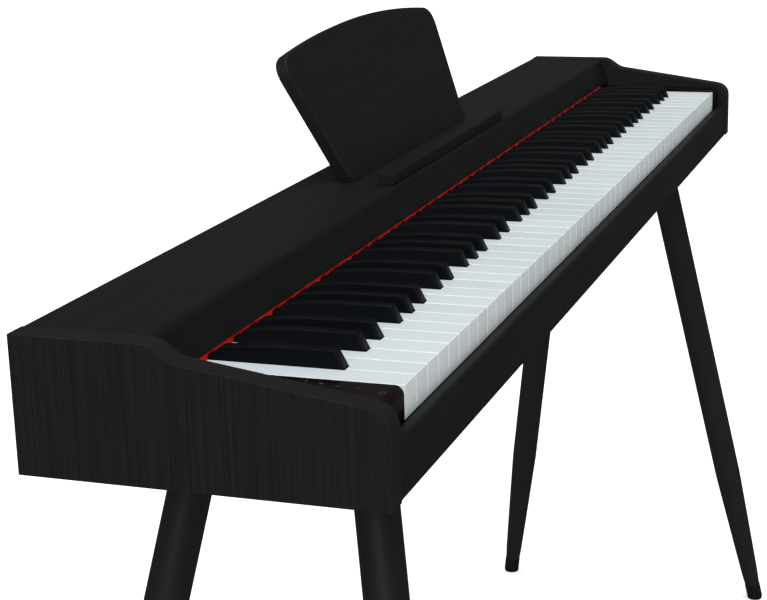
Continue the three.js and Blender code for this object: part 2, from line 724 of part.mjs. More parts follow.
// A peg in the rest's own frame, reaching `up` into the rest and into the top panel below it.
function peg(radius, up) {
  const rod = new THREE.CylinderGeometry(radius, radius, up + PEG_IN_TOP, 16);
  rod.rotateX(Math.PI / 2).translate(0, REST_THICKNESS / 2, (up - PEG_IN_TOP) / 2);
  return leaning(rod);
}

function ledgeOutline() {
  const outline = new THREE.Shape();
  outline.moveTo(0, 0);
  outline.lineTo(LEDGE_DEPTH, 0);
  outline.lineTo(LEDGE_DEPTH, LEDGE_HEIGHT);
  outline.lineTo(LEDGE_RADIUS, LEDGE_HEIGHT);
  outline.absarc(LEDGE_RADIUS, LEDGE_HEIGHT - LEDGE_RADIUS, LEDGE_RADIUS, Math.PI / 2, Math.PI);
  outline.closePath();
  return outline;
}

function addMusicRest(parent) {
  const rest = new THREE.Group();
  rest.position.set(0, REST_Y, REST_Z);
  parent.add(rest);
  place(rest, "music_rest", geometryOf(restPanel()), laminate);
  for (const [side, name] of HANDS) {
    const at = [(side * PEG_SPACING) / 2, 0, 0];
    place(rest, `rest_peg_${name}`, peg(PEG_RADIUS, PEG_IN_REST), beech, at);
  }
  const ledge = drawnAlongX(ledgeOutline(), -LEDGE_LENGTH / 2, LEDGE_LENGTH / 2);
  const ledgeY = FALLBOARD_Y + LEDGE_BEHIND_EDGE;
  place(parent, "music_ledge", ledge, laminate, [0, ledgeY, TOP_SURFACE + SEAM]);
}

// ---------------------------------------------------------------------------------------------
// Electronics
// ---------------------------------------------------------------------------------------------

// A loudspeaker that faces +z: flange in front, basket and magnet behind, and a hollow cone.
function speaker() {
  const halfWidth = SPEAKER_WIDTH / 2;
  const halfHeight = SPEAKER_HEIGHT / 2;
  const plate = box([-halfWidth, -halfHeight, 0], [halfWidth, halfHeight, SPEAKER_FLANGE]);
  const magnetFront = -CONE_DEPTH;
  const magnetBack = magnetFront - MAGNET_DEPTH;
  const drum = turned([
    [0, magnetBack],
    [MAGNET_RADIUS, magnetBack],
    [MAGNET_RADIUS, magnetFront],
    [CONE_RADIUS, 0],
    [CONE_RADIUS, SPEAKER_FLANGE / 2],
    [0, SPEAKER_FLANGE / 2],
  ]);
  const dish = turned([
    [0, -CONE_DEPTH / 2],
    [CONE_RADIUS / 3, -CONE_DEPTH / 2],
    [CONE_RADIUS - SPEAKER_FLANGE, 2 * SPEAKER_FLANGE],
    [0, 2 * SPEAKER_FLANGE],
  ]);
  return plate.add(solidOf(drum)).subtract(solidOf(dish));
}

function mainBoard() {
  const { length, depth } = MAIN_BOARD;
  const board = box([-length / 2, -depth / 2, 0], [length / 2, depth / 2, BOARD_THICKNESS]);
  const chips = CHIPS.map(([share, width, height]) => {
    const x = share * length;
    const half = width / 2;
    const top = BOARD_THICKNESS + height;
    return box([x - half, -half, BOARD_THICKNESS / 2], [x + half, half, top]);
  });
  return union([board, ...chips]);
}

function socketPlate() {
  const { width, height, thickness } = SOCKET_PLATE;
  let plate = box([-width / 2, -thickness, -height / 2], [width / 2, 0, height / 2]);
  for (const side of [-1, 0, 1]) {
    const radius = SOCKET_COLLAR_RADIUS + SEAM;
    const hole = new THREE.CylinderGeometry(radius, radius, 4 * thickness, 20);
    plate = plate.subtract(solidOf(hole.translate(side * SOCKET_SPACING, 0, 0)));
  }
  return plate;
}

// A socket that opens towards +y, with its mouth level with the plate's face.
function socket(boreRadius, pinRadius) {
  const collar = SOCKET_PLATE.thickness + SEAM;
  const depth = SOCKET_LENGTH - collar;
  const section = [
    [0, -SOCKET_LENGTH],
    [SOCKET_BODY_RADIUS, -SOCKET_LENGTH],
    [SOCKET_BODY_RADIUS, -collar],
    [SOCKET_COLLAR_RADIUS, -collar],
    [SOCKET_COLLAR_RADIUS, 0],
    [boreRadius, 0],
    [boreRadius, -depth],
  ];
  if (pinRadius > 0) section.push([pinRadius, -depth], [pinRadius, -collar], [0, -collar]);
  if (pinRadius === 0) section.push([0, -depth]);
  return turned(section, 20).rotateX(-Math.PI / 2);
}

function addElectronics(parent) {
  const middle = (FLOOR_INSIDE + TOP_UNDERSIDE) / 2;
  for (const [side, name] of HANDS) {
    const geometry = geometryOf(speaker()).rotateX(-Math.PI / 2).rotateY(Math.PI);
    const y = BACK_INSIDE - SPEAKER_FLANGE - SEAM;
    place(parent, `speaker_${name}`, geometry, darkPlastic, [side * SPEAKER_X, y, middle]);
  }
  const boardY = (KEY_SETBACK + KEY_LENGTH + BACK_INSIDE) / 2;
  const boardZ = FLOOR_INSIDE + MAIN_BOARD.rise;
  place(parent, "main_board", geometryOf(mainBoard()), circuitBoard, [MAIN_BOARD.x, boardY, boardZ]);
  const plateY = BACK_INSIDE - SEAM;
  place(parent, "socket_plate", geometryOf(socketPlate()), darkPlastic, [SOCKET_X, plateY, SOCKET_Z]);
  const at = (side) => [SOCKET_X + side * SOCKET_SPACING, plateY, SOCKET_Z];
  place(parent, "dc_inlet", socket(INLET_RADIUS, INLET_PIN_RADIUS), blackPlastic, at(1));
  place(parent, "headphone_socket", socket(JACK_RADIUS, 0), blackPlastic, at(0));
  place(parent, "pedal_socket", socket(JACK_RADIUS, 0), blackPlastic, at(-1));
}

// ---------------------------------------------------------------------------------------------
// Legs, each in a frame whose z runs up along the leg from the underside of the bottom panel
// ---------------------------------------------------------------------------------------------

const UNDERSIDE = LEG_HEIGHT + UNDERSIDE_INSET;
const CORNERS = [
  [-1, -1, "front_left"],
  [1, -1, "front_right"],
  [-1, 1, "back_left"],
  [1, 1, "back_right"],
];

function legAxis(sideX, sideY) {
  return new THREE.Vector3(sideX * (LEG_TOP_X - FOOT_X), sideY * (LEG_TOP_Y - FOOT_Y), UNDERSIDE);
}

const LEG_LENGTH = legAxis(1, 1).length(); // along the axis, underside to floor

function leg() {
  const top = -BOSS_LENGTH - SEAM;
  const end = -LEG_LENGTH + FOOT_LENGTH + SEAM;
  return turned([
    [0, end],
    [FOOT_RADIUS, end],
    [LEG_RADIUS, -LEG_LENGTH * LEG_STRAIGHT],
    [LEG_RADIUS, top - LEG_CHAMFER],
    [LEG_RADIUS - LEG_CHAMFER, top],
    [SPIGOT_RADIUS, top],
    [SPIGOT_RADIUS, top + SPIGOT_LENGTH],
    [0, top + SPIGOT_LENGTH],
  ]);
}

// The foot: a rounded cap, cut level with the floor.
function foot(turn) {
  const top = -LEG_LENGTH + FOOT_LENGTH;
  const tip = -LEG_LENGTH - FOOT_SPARE;
  const points = [[0, tip]];
  const steps = 4;
  for (let step = 0; step <= steps; step += 1) {
    const angle = (step / steps) * (Math.PI / 2);
    const radius = FOOT_RADIUS - FOOT_TIP_RADIUS + FOOT_TIP_RADIUS * Math.sin(angle);
    points.push([radius, tip + FOOT_TIP_RADIUS * (1 - Math.cos(angle))]);
  }
  points.push([FOOT_RADIUS, top], [0, top]);
  const cap = solidOf(turned(points).applyQuaternion(turn));
  const below = 2 * UNDERSIDE;
  const underFloor = box([-FOOT_X, -FOOT_X, -below], [FOOT_X, FOOT_X, -UNDERSIDE]);
  return cap.subtract(underFloor);
}

// The plate on the underside, with a slanted boss for the leg.
function legPlate(turn) {
  const half = LEG_PLATE / 2;
  const plate = box([-half, -half, -LEG_PLATE_THICKNESS - SEAM], [half, half, -SEAM]);
  const rod = (radius, low, high) => {
    const geometry = new THREE.CylinderGeometry(radius, radius, high - low, 24);
    geometry.rotateX(Math.PI / 2).translate(0, 0, (low + high) / 2);
    return solidOf(geometry.applyQuaternion(turn));
  };
  const above = box([-LEG_PLATE, -LEG_PLATE, -SEAM], [LEG_PLATE, LEG_PLATE, LEG_PLATE]);
  const boss = rod(BOSS_RADIUS, -BOSS_LENGTH, BOSS_RADIUS).subtract(above);
  const bore = rod(SPIGOT_RADIUS + SEAM, -2 * BOSS_LENGTH, SPIGOT_LENGTH - BOSS_LENGTH + SEAM);
  return plate.add(boss).subtract(bore);
}

function addLegs(parent) {
  for (const [sideX, sideY, name] of CORNERS) {
    const corner = new THREE.Group();
    corner.position.set(sideX * LEG_TOP_X, sideY * LEG_TOP_Y, UNDERSIDE);
    parent.add(corner);
    const axis = legAxis(sideX, sideY).normalize();
    const turn = new THREE.Quaternion().setFromUnitVectors(new THREE.Vector3(0, 0, 1), axis);
    place(corner, `leg_plate_${name}`, geometryOf(legPlate(turn)), steel);
    const slanted = place(corner, `leg_${name}`, leg(), legPaint);
    slanted.quaternion.copy(turn);
    place(corner, `leg_foot_${name}`, geometryOf(foot(turn)), footRubber);
  }
}

// ---------------------------------------------------------------------------------------------
// The whole object
// ---------------------------------------------------------------------------------------------

const piano = new THREE.Group();
const caseGroup = new THREE.Group();
caseGroup.position.set(0, -CASE_DEPTH / 2, LEG_HEIGHT);
piano.add(caseGroup);
addCase(caseGroup);
addKeyboard(caseGroup);
addMusicRest(caseGroup);
addElectronics(caseGroup);
addLegs(piano);

export default piano;
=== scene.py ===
import json
import math

import bmesh
import bpy
from mathutils import Matrix, Quaternion, Vector


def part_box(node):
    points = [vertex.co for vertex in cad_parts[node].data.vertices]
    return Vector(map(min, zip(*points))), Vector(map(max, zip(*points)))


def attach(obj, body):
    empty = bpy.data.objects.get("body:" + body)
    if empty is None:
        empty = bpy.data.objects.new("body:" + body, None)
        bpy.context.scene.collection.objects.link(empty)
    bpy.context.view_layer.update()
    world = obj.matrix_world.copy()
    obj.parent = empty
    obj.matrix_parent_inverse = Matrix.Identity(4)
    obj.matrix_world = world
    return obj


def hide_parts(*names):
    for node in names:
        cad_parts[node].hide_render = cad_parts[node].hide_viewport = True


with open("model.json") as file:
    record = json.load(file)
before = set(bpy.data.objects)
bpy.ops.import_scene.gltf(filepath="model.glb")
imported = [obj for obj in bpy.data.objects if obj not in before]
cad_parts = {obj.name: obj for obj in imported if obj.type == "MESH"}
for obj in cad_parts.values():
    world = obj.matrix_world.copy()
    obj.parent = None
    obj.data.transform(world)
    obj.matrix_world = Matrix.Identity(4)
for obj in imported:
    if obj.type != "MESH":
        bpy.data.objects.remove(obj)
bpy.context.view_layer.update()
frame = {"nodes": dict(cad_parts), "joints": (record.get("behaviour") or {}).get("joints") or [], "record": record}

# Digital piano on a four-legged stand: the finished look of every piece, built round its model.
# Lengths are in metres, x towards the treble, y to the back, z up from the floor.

bl_info = {
    "name": "Digital Piano Pieces",
    "version": (1, 0, 0),
    "blender": (4, 5, 0),
    "location": "3D View > Sidebar > Piano",
    "description": "Builds the finished pieces of a digital piano on a stand round its model",
    "category": "Object",
}


# ---------------------------------------------------------------------------------------------
# What the model says
# ---------------------------------------------------------------------------------------------

def low(node):
    """Lowest corner of a node of the model."""
    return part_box(node)[0]


def high(node):
    """Highest corner of a node of the model."""
    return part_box(node)[1]


def middle(node):
    """Middle of a node of the model."""
    return (low(node) + high(node)) / 2


RECORD = frame["record"]
BODIES = RECORD["behaviour"]["bodies"]
CASE = "case"
CORNERS = ("front_left", "front_right", "back_left", "back_right")
SIDES = ("left", "right")
SAME_PLACE = 1e-6  # points closer than this are one
SAME_LEVEL = 1e-7
FLAT_WITHIN = math.radians(0.5)  # faces that turn by less are joined
THIN_EDGE = 0.0005  # rounding of felt and sheet steel

NOTES = ("c", "d", "e", "f", "g", "a", "b")
KEY_FRONT = low("key_c4").y
KEY_TOP = high("key_c4").z
KEY_LENGTH = high("key_c4").y - KEY_FRONT
KEY_DEPTH = KEY_TOP - low("key_c_sharp4").z
LIP_HEIGHT = KEY_TOP - low("key_c4").z
PITCH = low("key_d4").x - low("key_c4").x
MODEL_GAP = PITCH - (high("key_c4").x - low("key_c4").x)
OPEN_OCTAVE_LEFT = low("key_c4").x - MODEL_GAP / 2
# Each black key's middle, from its octave's left edge
SHARPS = {note: middle(f"key_{note}_sharp4").x - OPEN_OCTAVE_LEFT for note in "cdfga"}
SHARP_WIDTH = high("key_c_sharp4").x - low("key_c_sharp4").x
SHARP_FRONT = low("key_c_sharp4").y - KEY_FRONT
SHARP_BACK = high("key_c_sharp4").y - KEY_FRONT
SHARP_HEIGHT = high("key_c_sharp4").z - KEY_TOP
REST_JOINT = next(joint for joint in frame["joints"] if joint["name"] == "music_rest_lift")
REST_TILT = math.atan2(REST_JOINT["axis"][1], REST_JOINT["axis"][2])
FEET = {mount["name"]: Vector(mount["pos_m"]) for mount in RECORD["mounts"]}


def octave_left(octave):
    """The left edge of an octave's C."""
    return OPEN_OCTAVE_LEFT + (octave - 4) * len(NOTES) * PITCH


# ---------------------------------------------------------------------------------------------
# Sizes and colours that can be changed
# ---------------------------------------------------------------------------------------------

def length(name, description, default):
    """A length property, in metres."""
    return bpy.props.FloatProperty(
        name=name, description=description, default=default, min=0.0, precision=5, unit="LENGTH"
    )


def angle(name, description, degrees):
    """An angle property."""
    return bpy.props.FloatProperty(
        name=name, description=description, default=math.radians(degrees), unit="ROTATION"
    )


def share(name, description, default):
    """A property that runs from nothing to all."""
    return bpy.props.FloatProperty(
        name=name, description=description, default=default, min=0.0, max=1.0, subtype="FACTOR"
    )


def number(name, description, default):
    """A plain number property."""
    return bpy.props.FloatProperty(name=name, description=description, default=default, min=0.0)


def count(name, description, default):
    """A property that counts."""
    return bpy.props.IntProperty(name=name, description=description, default=default, min=0)


def colour(name, description, *default):
    """A colour property, in linear light."""
    return bpy.props.FloatVectorProperty(
        name=name,
        description=description,
        default=(*default, 1.0),
        size=4,
        min=0.0,
        max=1.0,
        subtype="COLOR",
    )


class PIANO_PG_case(bpy.types.PropertyGroup):
    """Boards of the case"""

    board_edge: length("Board edge", "Rounding of a board's edges", 0.0007)
    curve_back: length("Curve back", "Where the cheek's top starts to fall, from its front", 0.1619)
    curve_front: length("Curve front", "Where the fall turns into the slope", 0.1353)
    curve_drop: length("Curve drop", "Height lost in the S-curve", 0.012)
    slope_end: length("Slope end", "Where the slope turns into the rounded front", 0.0158)
    slope_drop: length("Slope drop", "Height lost along the slope", 0.0172)
    nose: length("Nose", "Height of the rounded front", 0.0167)
    top_radius: length("Top radius", "Rounding between the top and the fallboard", 0.006)
    fallboard_lean: length("Fallboard lean", "How far its foot stands forward", 0.0082)
    rail_radius: length("Rail radius", "Rounding of the front rail", 0.0035)
    back_inset: length("Back inset", "Back board's face inside the cheeks' back edges", 0.0006)
    laminate_dark: colour("Laminate dark", "Ground colour of the laminate", 0.0050, 0.0050, 0.0050)
    laminate_light: colour("Laminate light", "Streaks in the laminate", 0.0124, 0.0124, 0.0124)
    edging: colour("Edging", "Edge band of the cheeks", 0.0125, 0.0122, 0.0118)
    worn: colour("Worn edge", "Laminate where an edge has been rubbed", 0.035, 0.034, 0.033)


class PIANO_PG_keyboard(bpy.types.PropertyGroup):
    """Keys, felt and the blocks at their ends"""

    key_gap: length("Key gap", "Between neighbouring white keys", 0.0007)
    sharp_gap: length("Black key gap", "Between a black key and the white keys", 0.0008)
    white_edge: length("White edge", "Rounding of a white key's top edges", 0.0007)
    white_corner: length("White corner", "Rounding of a white key's front corners", 0.0009)
    lip: length("Lip", "Thickness of a white key's front", 0.0035)
    black_edge: length("Black edge", "Rounding of a black key's top edges", 0.0014)
    black_top: length("Black top", "Width of a black key's top", 0.0082)
    black_slant: length("Black slant", "How far its front leans back", 0.0055)
    black_level: length("Black level", "Length of its top before it falls", 0.034)
    black_shoulder: length("Black shoulder", "Where its top turns down, from the white fronts", 0.132)
    black_shoulder_height: length("Black shoulder height", "Its height there", 0.0092)
    black_end: length("Black end", "Where it has come down to its tail", 0.1398)
    black_tail: length("Black tail", "Height of its tail", 0.0022)
    set_bar: length("Set bar", "Thickness of the bar that joins a moulded set", 0.004)
    height_spread: length("Height spread", "How far the keys' heights vary", 0.00012)
    nap_length: length("Nap length", "Length of the felt's loose fibres", 0.0003)
    nap_density: number("Nap density", "Fibres for each square metre of felt", 420000)
    block_radius: length("Block radius", "Rounding of the end blocks' front edge", 0.006)
    cover: length("Cover", "Thickness of the touch panel", 0.0024)
    block_wall: length("Block wall", "Wall of the end blocks", 0.003)
    white: colour("White keys", "Plastic of the white keys", 0.74, 0.79, 0.81)
    black: colour("Black keys", "Plastic of the black keys", 0.0016, 0.0024, 0.0036)
    felt: colour("Felt", "Felt behind the keys", 0.62, 0.010, 0.004)
    gloss: colour("Touch panel", "Glossy plastic of the touch panel", 0.0068, 0.0020, 0.0016)
    symbol: colour("Symbols", "Symbols on the touch panel", 0.085, 0.060, 0.055)
    moulding: colour("Moulding", "Dark plastic mouldings", 0.010, 0.0095, 0.010)


class PIANO_PG_rest(bpy.types.PropertyGroup):
    """Music rest and its ledge"""

    base_width: length("Base width", "Width of the rest at its foot", 0.346)
    widest: length("Widest", "Height at which the rest is widest", 0.108)
    shoulder: length("Shoulder", "Where the side turns into the corner", 0.101)
    corner: length("Corner", "Where the corner turns into the arched top", 0.1255)
    corner_drop: length("Corner drop", "Corner's tip below the start of the arch", 0.002)
    thickness: length("Thickness", "Thickness of the rest", 0.0115)
    edge: length("Edge", "Rounding of the rest's edges", 0.0016)
    ledge_radius: length("Ledge radius", "Rounding of the ledge's front edge", 0.002)
    peg_hole: length("Peg hole", "Radius of the holes for the pegs", 0.0043)


class PIANO_PG_stand(bpy.types.PropertyGroup):
    """Legs, feet and their plates"""

    leg_radius: length("Leg radius", "Radius of the leg's upper part", 0.016)
    foot_radius: length("Foot radius", "Radius at the foot", 0.0101)
    straight: share("Straight", "Share of the leg before it tapers", 0.7)
    foot_length: length("Foot length", "Length of the rubber foot", 0.024)
    boss: length("Boss", "Length of the plate's slanted boss", 0.014)
    boss_radius: length("Boss radius", "Radius of the boss", 0.019)
    plate_corner: length("Plate corner", "Rounding of the plate's corners", 0.008)
    paint: colour("Leg paint", "Satin paint of the legs", 0.0138, 0.0138, 0.0139)
    rubber: colour("Foot rubber", "Rubber of the feet", 0.0070, 0.0070, 0.0072)
    steel: colour("Steel", "Zinc-plated steel", 0.42, 0.43, 0.45)
    screw: colour("Screws", "Blackened screws", 0.045, 0.045, 0.048)


class PIANO_PG_back(bpy.types.PropertyGroup):
    """Loudspeakers, sockets and boards"""

    slots: count("Slots", "Slots in front of each loudspeaker", 9)
    slot_width: length("Slot width", "Width of one slot", 0.003)
    slot_pitch: length("Slot pitch", "From one slot to the next", 0.007)
    slot_height: length("Slot height", "Height of the longest slot", 0.040)
    plate_overlap: length("Plate overlap", "How far the socket plate covers the board", 0.004)
    cone: colour("Cone", "Paper of the loudspeaker's cone", 0.020, 0.019, 0.018)
    board: colour("Circuit board", "Solder mask", 0.012, 0.085, 0.032)
    copper: colour("Contacts", "Tinned contacts", 0.55, 0.50, 0.38)
    beech: colour("Beech", "Turned beech of the pegs", 0.50, 0.31, 0.15)


class PIANO_PG_stage(bpy.types.PropertyGroup):
    """Camera, lights and floor"""

    lens: bpy.props.FloatProperty(name="Lens", description="Focal length", default=82.65, unit="CAMERA")
    azimuth: angle("Azimuth", "Camera's heading, from +Y towards +X", 70.52)
    elevation: angle("Elevation", "How far the camera looks up", -15.15)
    roll: angle("Roll", "Camera's roll", -1.62)
    sky: number("Sky", "Brightness of the light from all round", 0.42)
    overhead: number("Overhead", "Strength of the light from above", 1.95)
    side: number("Side", "Strength of the light from the left", 1.05)
    mirrored: number("Mirrored", "Brightness of the surroundings in reflections", 0.10)
    floor: colour("Floor", "Pale floor", 0.92, 0.90, 0.85)
    floor_lift: number("Floor lift", "Brightness added to the floor where it is seen", 0.45)


SETTINGS = {
    "piano_case": PIANO_PG_case,
    "piano_keyboard": PIANO_PG_keyboard,
    "piano_rest": PIANO_PG_rest,
    "piano_stand": PIANO_PG_stand,
    "piano_back": PIANO_PG_back,
    "piano_stage": PIANO_PG_stage,
}


# ---------------------------------------------------------------------------------------------
# Outlines and solids
# ---------------------------------------------------------------------------------------------

def bezier(points, steps):
    """Points along a Bezier curve of any degree, both ends included."""
    curve = []
    for step in range(steps + 1):
        row = [Vector(point) for point in points]
        while len(row) > 1:
            row = [a.lerp(b, step / steps) for a, b in zip(row, row[1:])]
        curve.append(tuple(row[0]))
    return curve


def arc(centre, radius, start, end, steps=6):
    """Points round a circle, between two angles in degrees."""
    points = []
    for step in range(steps + 1):
        turn = math.radians(start + (end - start) * step / steps)
        points.append((centre[0] + radius * math.cos(turn), centre[1] + radius * math.sin(turn)))
    return points


def rectangle(u0, u1, v0, v1, radius=0.0, steps=4):
    """A rectangle's outline, with round corners if a radius is given."""
    if radius == 0.0:
        return [(u0, v0), (u1, v0), (u1, v1), (u0, v1)]
    corners = ((u1, v0, -90), (u1, v1, 0), (u0, v1, 90), (u0, v0, 180))
    outline = []
    for u, v, start in corners:
        inward_u = math.copysign(radius, u - u0 - (u1 - u0) / 2)
        inward_v = math.copysign(radius, v - v0 - (v1 - v0) / 2)
        inside = (u - inward_u, v - inward_v)
        outline += arc(inside, radius, start, start + 90, steps)
    return outline


def new_solid():
    """An empty mesh that notes its rounded edges."""
    solid = bmesh.new()
    solid.faces.layers.float.new("edge")
    return solid


def prism(outline, axis, start, end):
    """An outline in the two other axes, drawn out along one axis."""
    def point(at, u, v):
        return {"X": (at, u, v), "Y": (u, at, v), "Z": (u, v, at)}[axis]

    solid = new_solid()
    ends = [[solid.verts.new(point(at, u, v)) for u, v in outline] for at in (start, end)]
    solid.faces.new(ends[0][::-1])
    solid.faces.new(ends[1])
    for i in range(len(outline)):
        solid.faces.new((ends[0][i - 1], ends[0][i], ends[1][i], ends[1][i - 1]))
    bmesh.ops.recalc_face_normals(solid, faces=solid.faces)
    return solid


def lathe(profile, sides=40):
    """A (radius, height) profile from axis to axis, turned about z."""
    solid = new_solid()
    rings = []
    for radius, height in profile:
        if radius == 0.0:
            rings.append([solid.verts.new((0.0, 0.0, height))])
            continue
        turns = [2 * math.pi * side / sides for side in range(sides)]
        rings.append([solid.verts.new((radius * math.cos(t), radius * math.sin(t), height)) for t in turns])
    for lower, upper in zip(rings, rings[1:]):
        for side in range(sides):
            corners = []
            for points, order in ((lower, (side - 1, side)), (upper, (side, side - 1))):
                corners += [points[place] for place in order] if len(points) > 1 else points
            solid.faces.new(corners)
    bmesh.ops.recalc_face_normals(solid, faces=solid.faces)
    return solid


def soften(solid, edges, radius, steps=2):
    """Rounds edges, and notes the new faces as edge faces."""
    made = bmesh.ops.bevel(
        solid,
        geom=list(edges),
        offset=radius,
        segments=steps,
        profile=0.5,
        affect="EDGES",
        clamp_overlap=True,
    )
    layer = solid.faces.layers.float["edge"]
    for face in made["faces"]:
        face[layer] = 1.0
    return solid


def sharp_edges(solid, degrees=40):
    """Edges where two faces meet at more than an angle."""
    limit = math.radians(degrees)
    return [edge for edge in solid.edges if edge.is_manifold and edge.calc_face_angle(0.0) > limit]


def softened(solid, radius, steps=2, degrees=40):
    """A solid with every sharp edge rounded."""
    return soften(solid, sharp_edges(solid, degrees), radius, steps)


def merged(*parts):
    """Several solids as one mesh."""
    whole = new_solid()
    for part in parts:
        mesh = bpy.data.meshes.new("part")
        part.to_mesh(mesh)
        part.free()
        whole.from_mesh(mesh)
        bpy.data.meshes.remove(mesh)
    return whole


def holder(mesh):
    """An object that holds a mesh while something is made from it."""
    made = bpy.data.objects.new("holder", mesh)
    bpy.context.scene.collection.objects.link(made)
    return made


def held(solid):
    """A solid in a holder."""
    mesh = bpy.data.meshes.new("held")
    solid.to_mesh(mesh)
    solid.free()
    return holder(mesh)


def plain_mesh(made):
    """What an object's modifiers make of it, as a plain mesh."""
    graph = bpy.context.evaluated_depsgraph_get()
    return bpy.data.meshes.new_from_object(made.evaluated_get(graph))


def discard(*objects):
    """Removes objects and their meshes."""
    for unwanted in objects:
        mesh = unwanted.data
        bpy.data.objects.remove(unwanted)
        if isinstance(mesh, bpy.types.Mesh) and mesh.users == 0:
            bpy.data.meshes.remove(mesh)


def cut(solid, *cutters):
    """A solid with the cutters' space taken out of it."""
    target = held(solid)
    tool = held(merged(*cutters))
    boolean = target.modifiers.new("Cut", "BOOLEAN")
    boolean.object = tool
    boolean.solver = "EXACT"
    mesh = plain_mesh(target)
    discard(target, tool)
    made = new_solid()
    made.from_mesh(mesh)
    bpy.data.meshes.remove(mesh)
    bmesh.ops.remove_doubles(made, verts=made.verts, dist=SAME_PLACE)
    bmesh.ops.dissolve_limit(made, angle_limit=FLAT_WITHIN, verts=made.verts, edges=made.edges)
    if not made.faces:
        raise RuntimeError("a cut left nothing of its board")
    return made


def keep(mesh, name, body, replaced=(), crease=38):
    """Puts a finished mesh in the scene, as a piece that moves with its body."""
    mesh.polygons.foreach_set("use_smooth", [True] * len(mesh.polygons))
    mesh.set_sharp_from_angle(angle=math.radians(crease))
    mesh.name = name
    piece = bpy.data.objects.new(name, mesh)
    bpy.context.scene.collection.objects.link(piece)
    shading = piece.modifiers.new("Even shading", "WEIGHTED_NORMAL")
    shading.keep_sharp = True
    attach(piece, body)
    if replaced:
        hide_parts(*replaced)
    return piece


def trimmed(solid, point, normal):
    """Cuts away what lies behind a plane, and closes the cut."""
    made = bmesh.ops.bisect_plane(
        solid,
        geom=solid.verts[:] + solid.edges[:] + solid.faces[:],
        plane_co=point,
        plane_no=normal,
        clear_inner=True,
    )
    rim = [item for item in made["geom_cut"] if isinstance(item, bmesh.types.BMEdge)]
    bmesh.ops.contextual_create(solid, geom=rim)
    return solid


def add(solid, name, body, finishes, replaced=(), crease=38):
    """Puts a solid in the scene as a piece, with its finishes in the order of its faces' indices."""
    bmesh.ops.recalc_face_normals(solid, faces=solid.faces)
    mesh = bpy.data.meshes.new(name)
    solid.to_mesh(mesh)
    solid.free()
    for coat in finishes:
        mesh.materials.append(coat)
    return keep(mesh, name, body, replaced, crease)


def own_places(solid):
    """Notes where each point lies before the solid is turned into place."""
    layer = solid.verts.layers.float_vector.new("own_place")
    for vert in solid.verts:
        vert[layer] = vert.co


def moved(solid, matrix):
    """A solid put in its place."""
    bmesh.ops.transform(solid, matrix=matrix, verts=solid.verts)
    return solid


# ---------------------------------------------------------------------------------------------
# Nodes
# ---------------------------------------------------------------------------------------------

def node(tree, kind, values=None, **settings):
    """Adds a node, with its settings and its inputs given as values or as sockets to link."""
    made = tree.nodes.new(kind)
    for name, value in settings.items():
        setattr(made, name, value)
    for key, value in (values or {}).items():
        several = isinstance(value, list) and isinstance(value[0], bpy.types.NodeSocket)
        for given in value if several else [value]:
            if isinstance(given, bpy.types.NodeSocket):
                tree.links.new(given, made.inputs[key])
            else:
                made.inputs[key].default_value = given
    return made


def new_tree(name, kind, inputs, outputs):
    """A group with named sockets: the tree, its inputs by name, and its output node."""
    tree = bpy.data.node_groups.new(name, kind)
    for label, socket in inputs.items():
        tree.interface.new_socket(label, in_out="INPUT", socket_type=socket)
    for label, socket in outputs.items():
        tree.interface.new_socket(label, in_out="OUTPUT", socket_type=socket)
    given = tree.nodes.new("NodeGroupInput").outputs
    return tree, given, tree.nodes.new("NodeGroupOutput")


def maths(tree, operation, a, b=0.5, clamp=False):
    """The result of a sum of two values."""
    return node(tree, "ShaderNodeMath", {0: a, 1: b}, operation=operation, use_clamp=clamp).outputs[0]


def ranged(tree, value, from_low, from_high, to_low, to_high):
    """A value moved from one range to another, and kept in it."""
    values = {"Value": value, 1: from_low, 2: from_high, 3: to_low, 4: to_high}
    return node(tree, "ShaderNodeMapRange", values).outputs["Result"]


def blended(tree, factor, first, second):
    """A colour between two colours."""
    mix = node(tree, "ShaderNodeMix", {0: factor, 6: first, 7: second}, data_type="RGBA")
    return mix.outputs[2]


def noise(tree, vector, scale, detail=3.0, roughness=0.55):
    """The value of a noise pattern."""
    values = {"Vector": vector, "Scale": scale, "Detail": detail, "Roughness": roughness}
    return node(tree, "ShaderNodeTexNoise", values).outputs[0]


FLOAT = "NodeSocketFloat"
VECTOR = "NodeSocketVector"


def grain_group():
    """Wood grain printed on laminate: streaks along the vector's x, and the pores between them."""
    tree, given, result = new_tree(
        "Wood grain",
        "ShaderNodeTree",
        {"Vector": VECTOR, "Along": FLOAT, "Across": FLOAT, "Fineness": FLOAT},
        {"Streak": FLOAT, "Height": FLOAT},
    )
    along, across = given["Along"], given["Across"]
    stretch = node(tree, "ShaderNodeCombineXYZ", {0: along, 1: across, 2: across})
    scaling = {0: given["Vector"], 1: stretch.outputs[0]}
    scaled = node(tree, "ShaderNodeVectorMath", scaling, operation="MULTIPLY")
    broad = noise(tree, scaled.outputs[0], 0.22, 2.0)
    fine = noise(tree, scaled.outputs[0], 1.0, 5.0, 0.65)
    share_of_fine = maths(tree, "MULTIPLY", fine, given["Fineness"])
    rest = maths(tree, "SUBTRACT", 1.0, given["Fineness"])
    streak = maths(tree, "ADD", maths(tree, "MULTIPLY", broad, rest), share_of_fine)
    streak = ranged(tree, streak, 0.34, 0.66, 0.0, 1.0)
    pores = ranged(tree, noise(tree, scaled.outputs[0], 2.3, 2.0), 0.36, 0.5, 0.0, 1.0)
    height = maths(tree, "ADD", maths(tree, "MULTIPLY", pores, 0.6), maths(tree, "MULTIPLY", streak, 0.4))
    tree.links.new(streak, result.inputs["Streak"])
    tree.links.new(height, result.inputs["Height"])


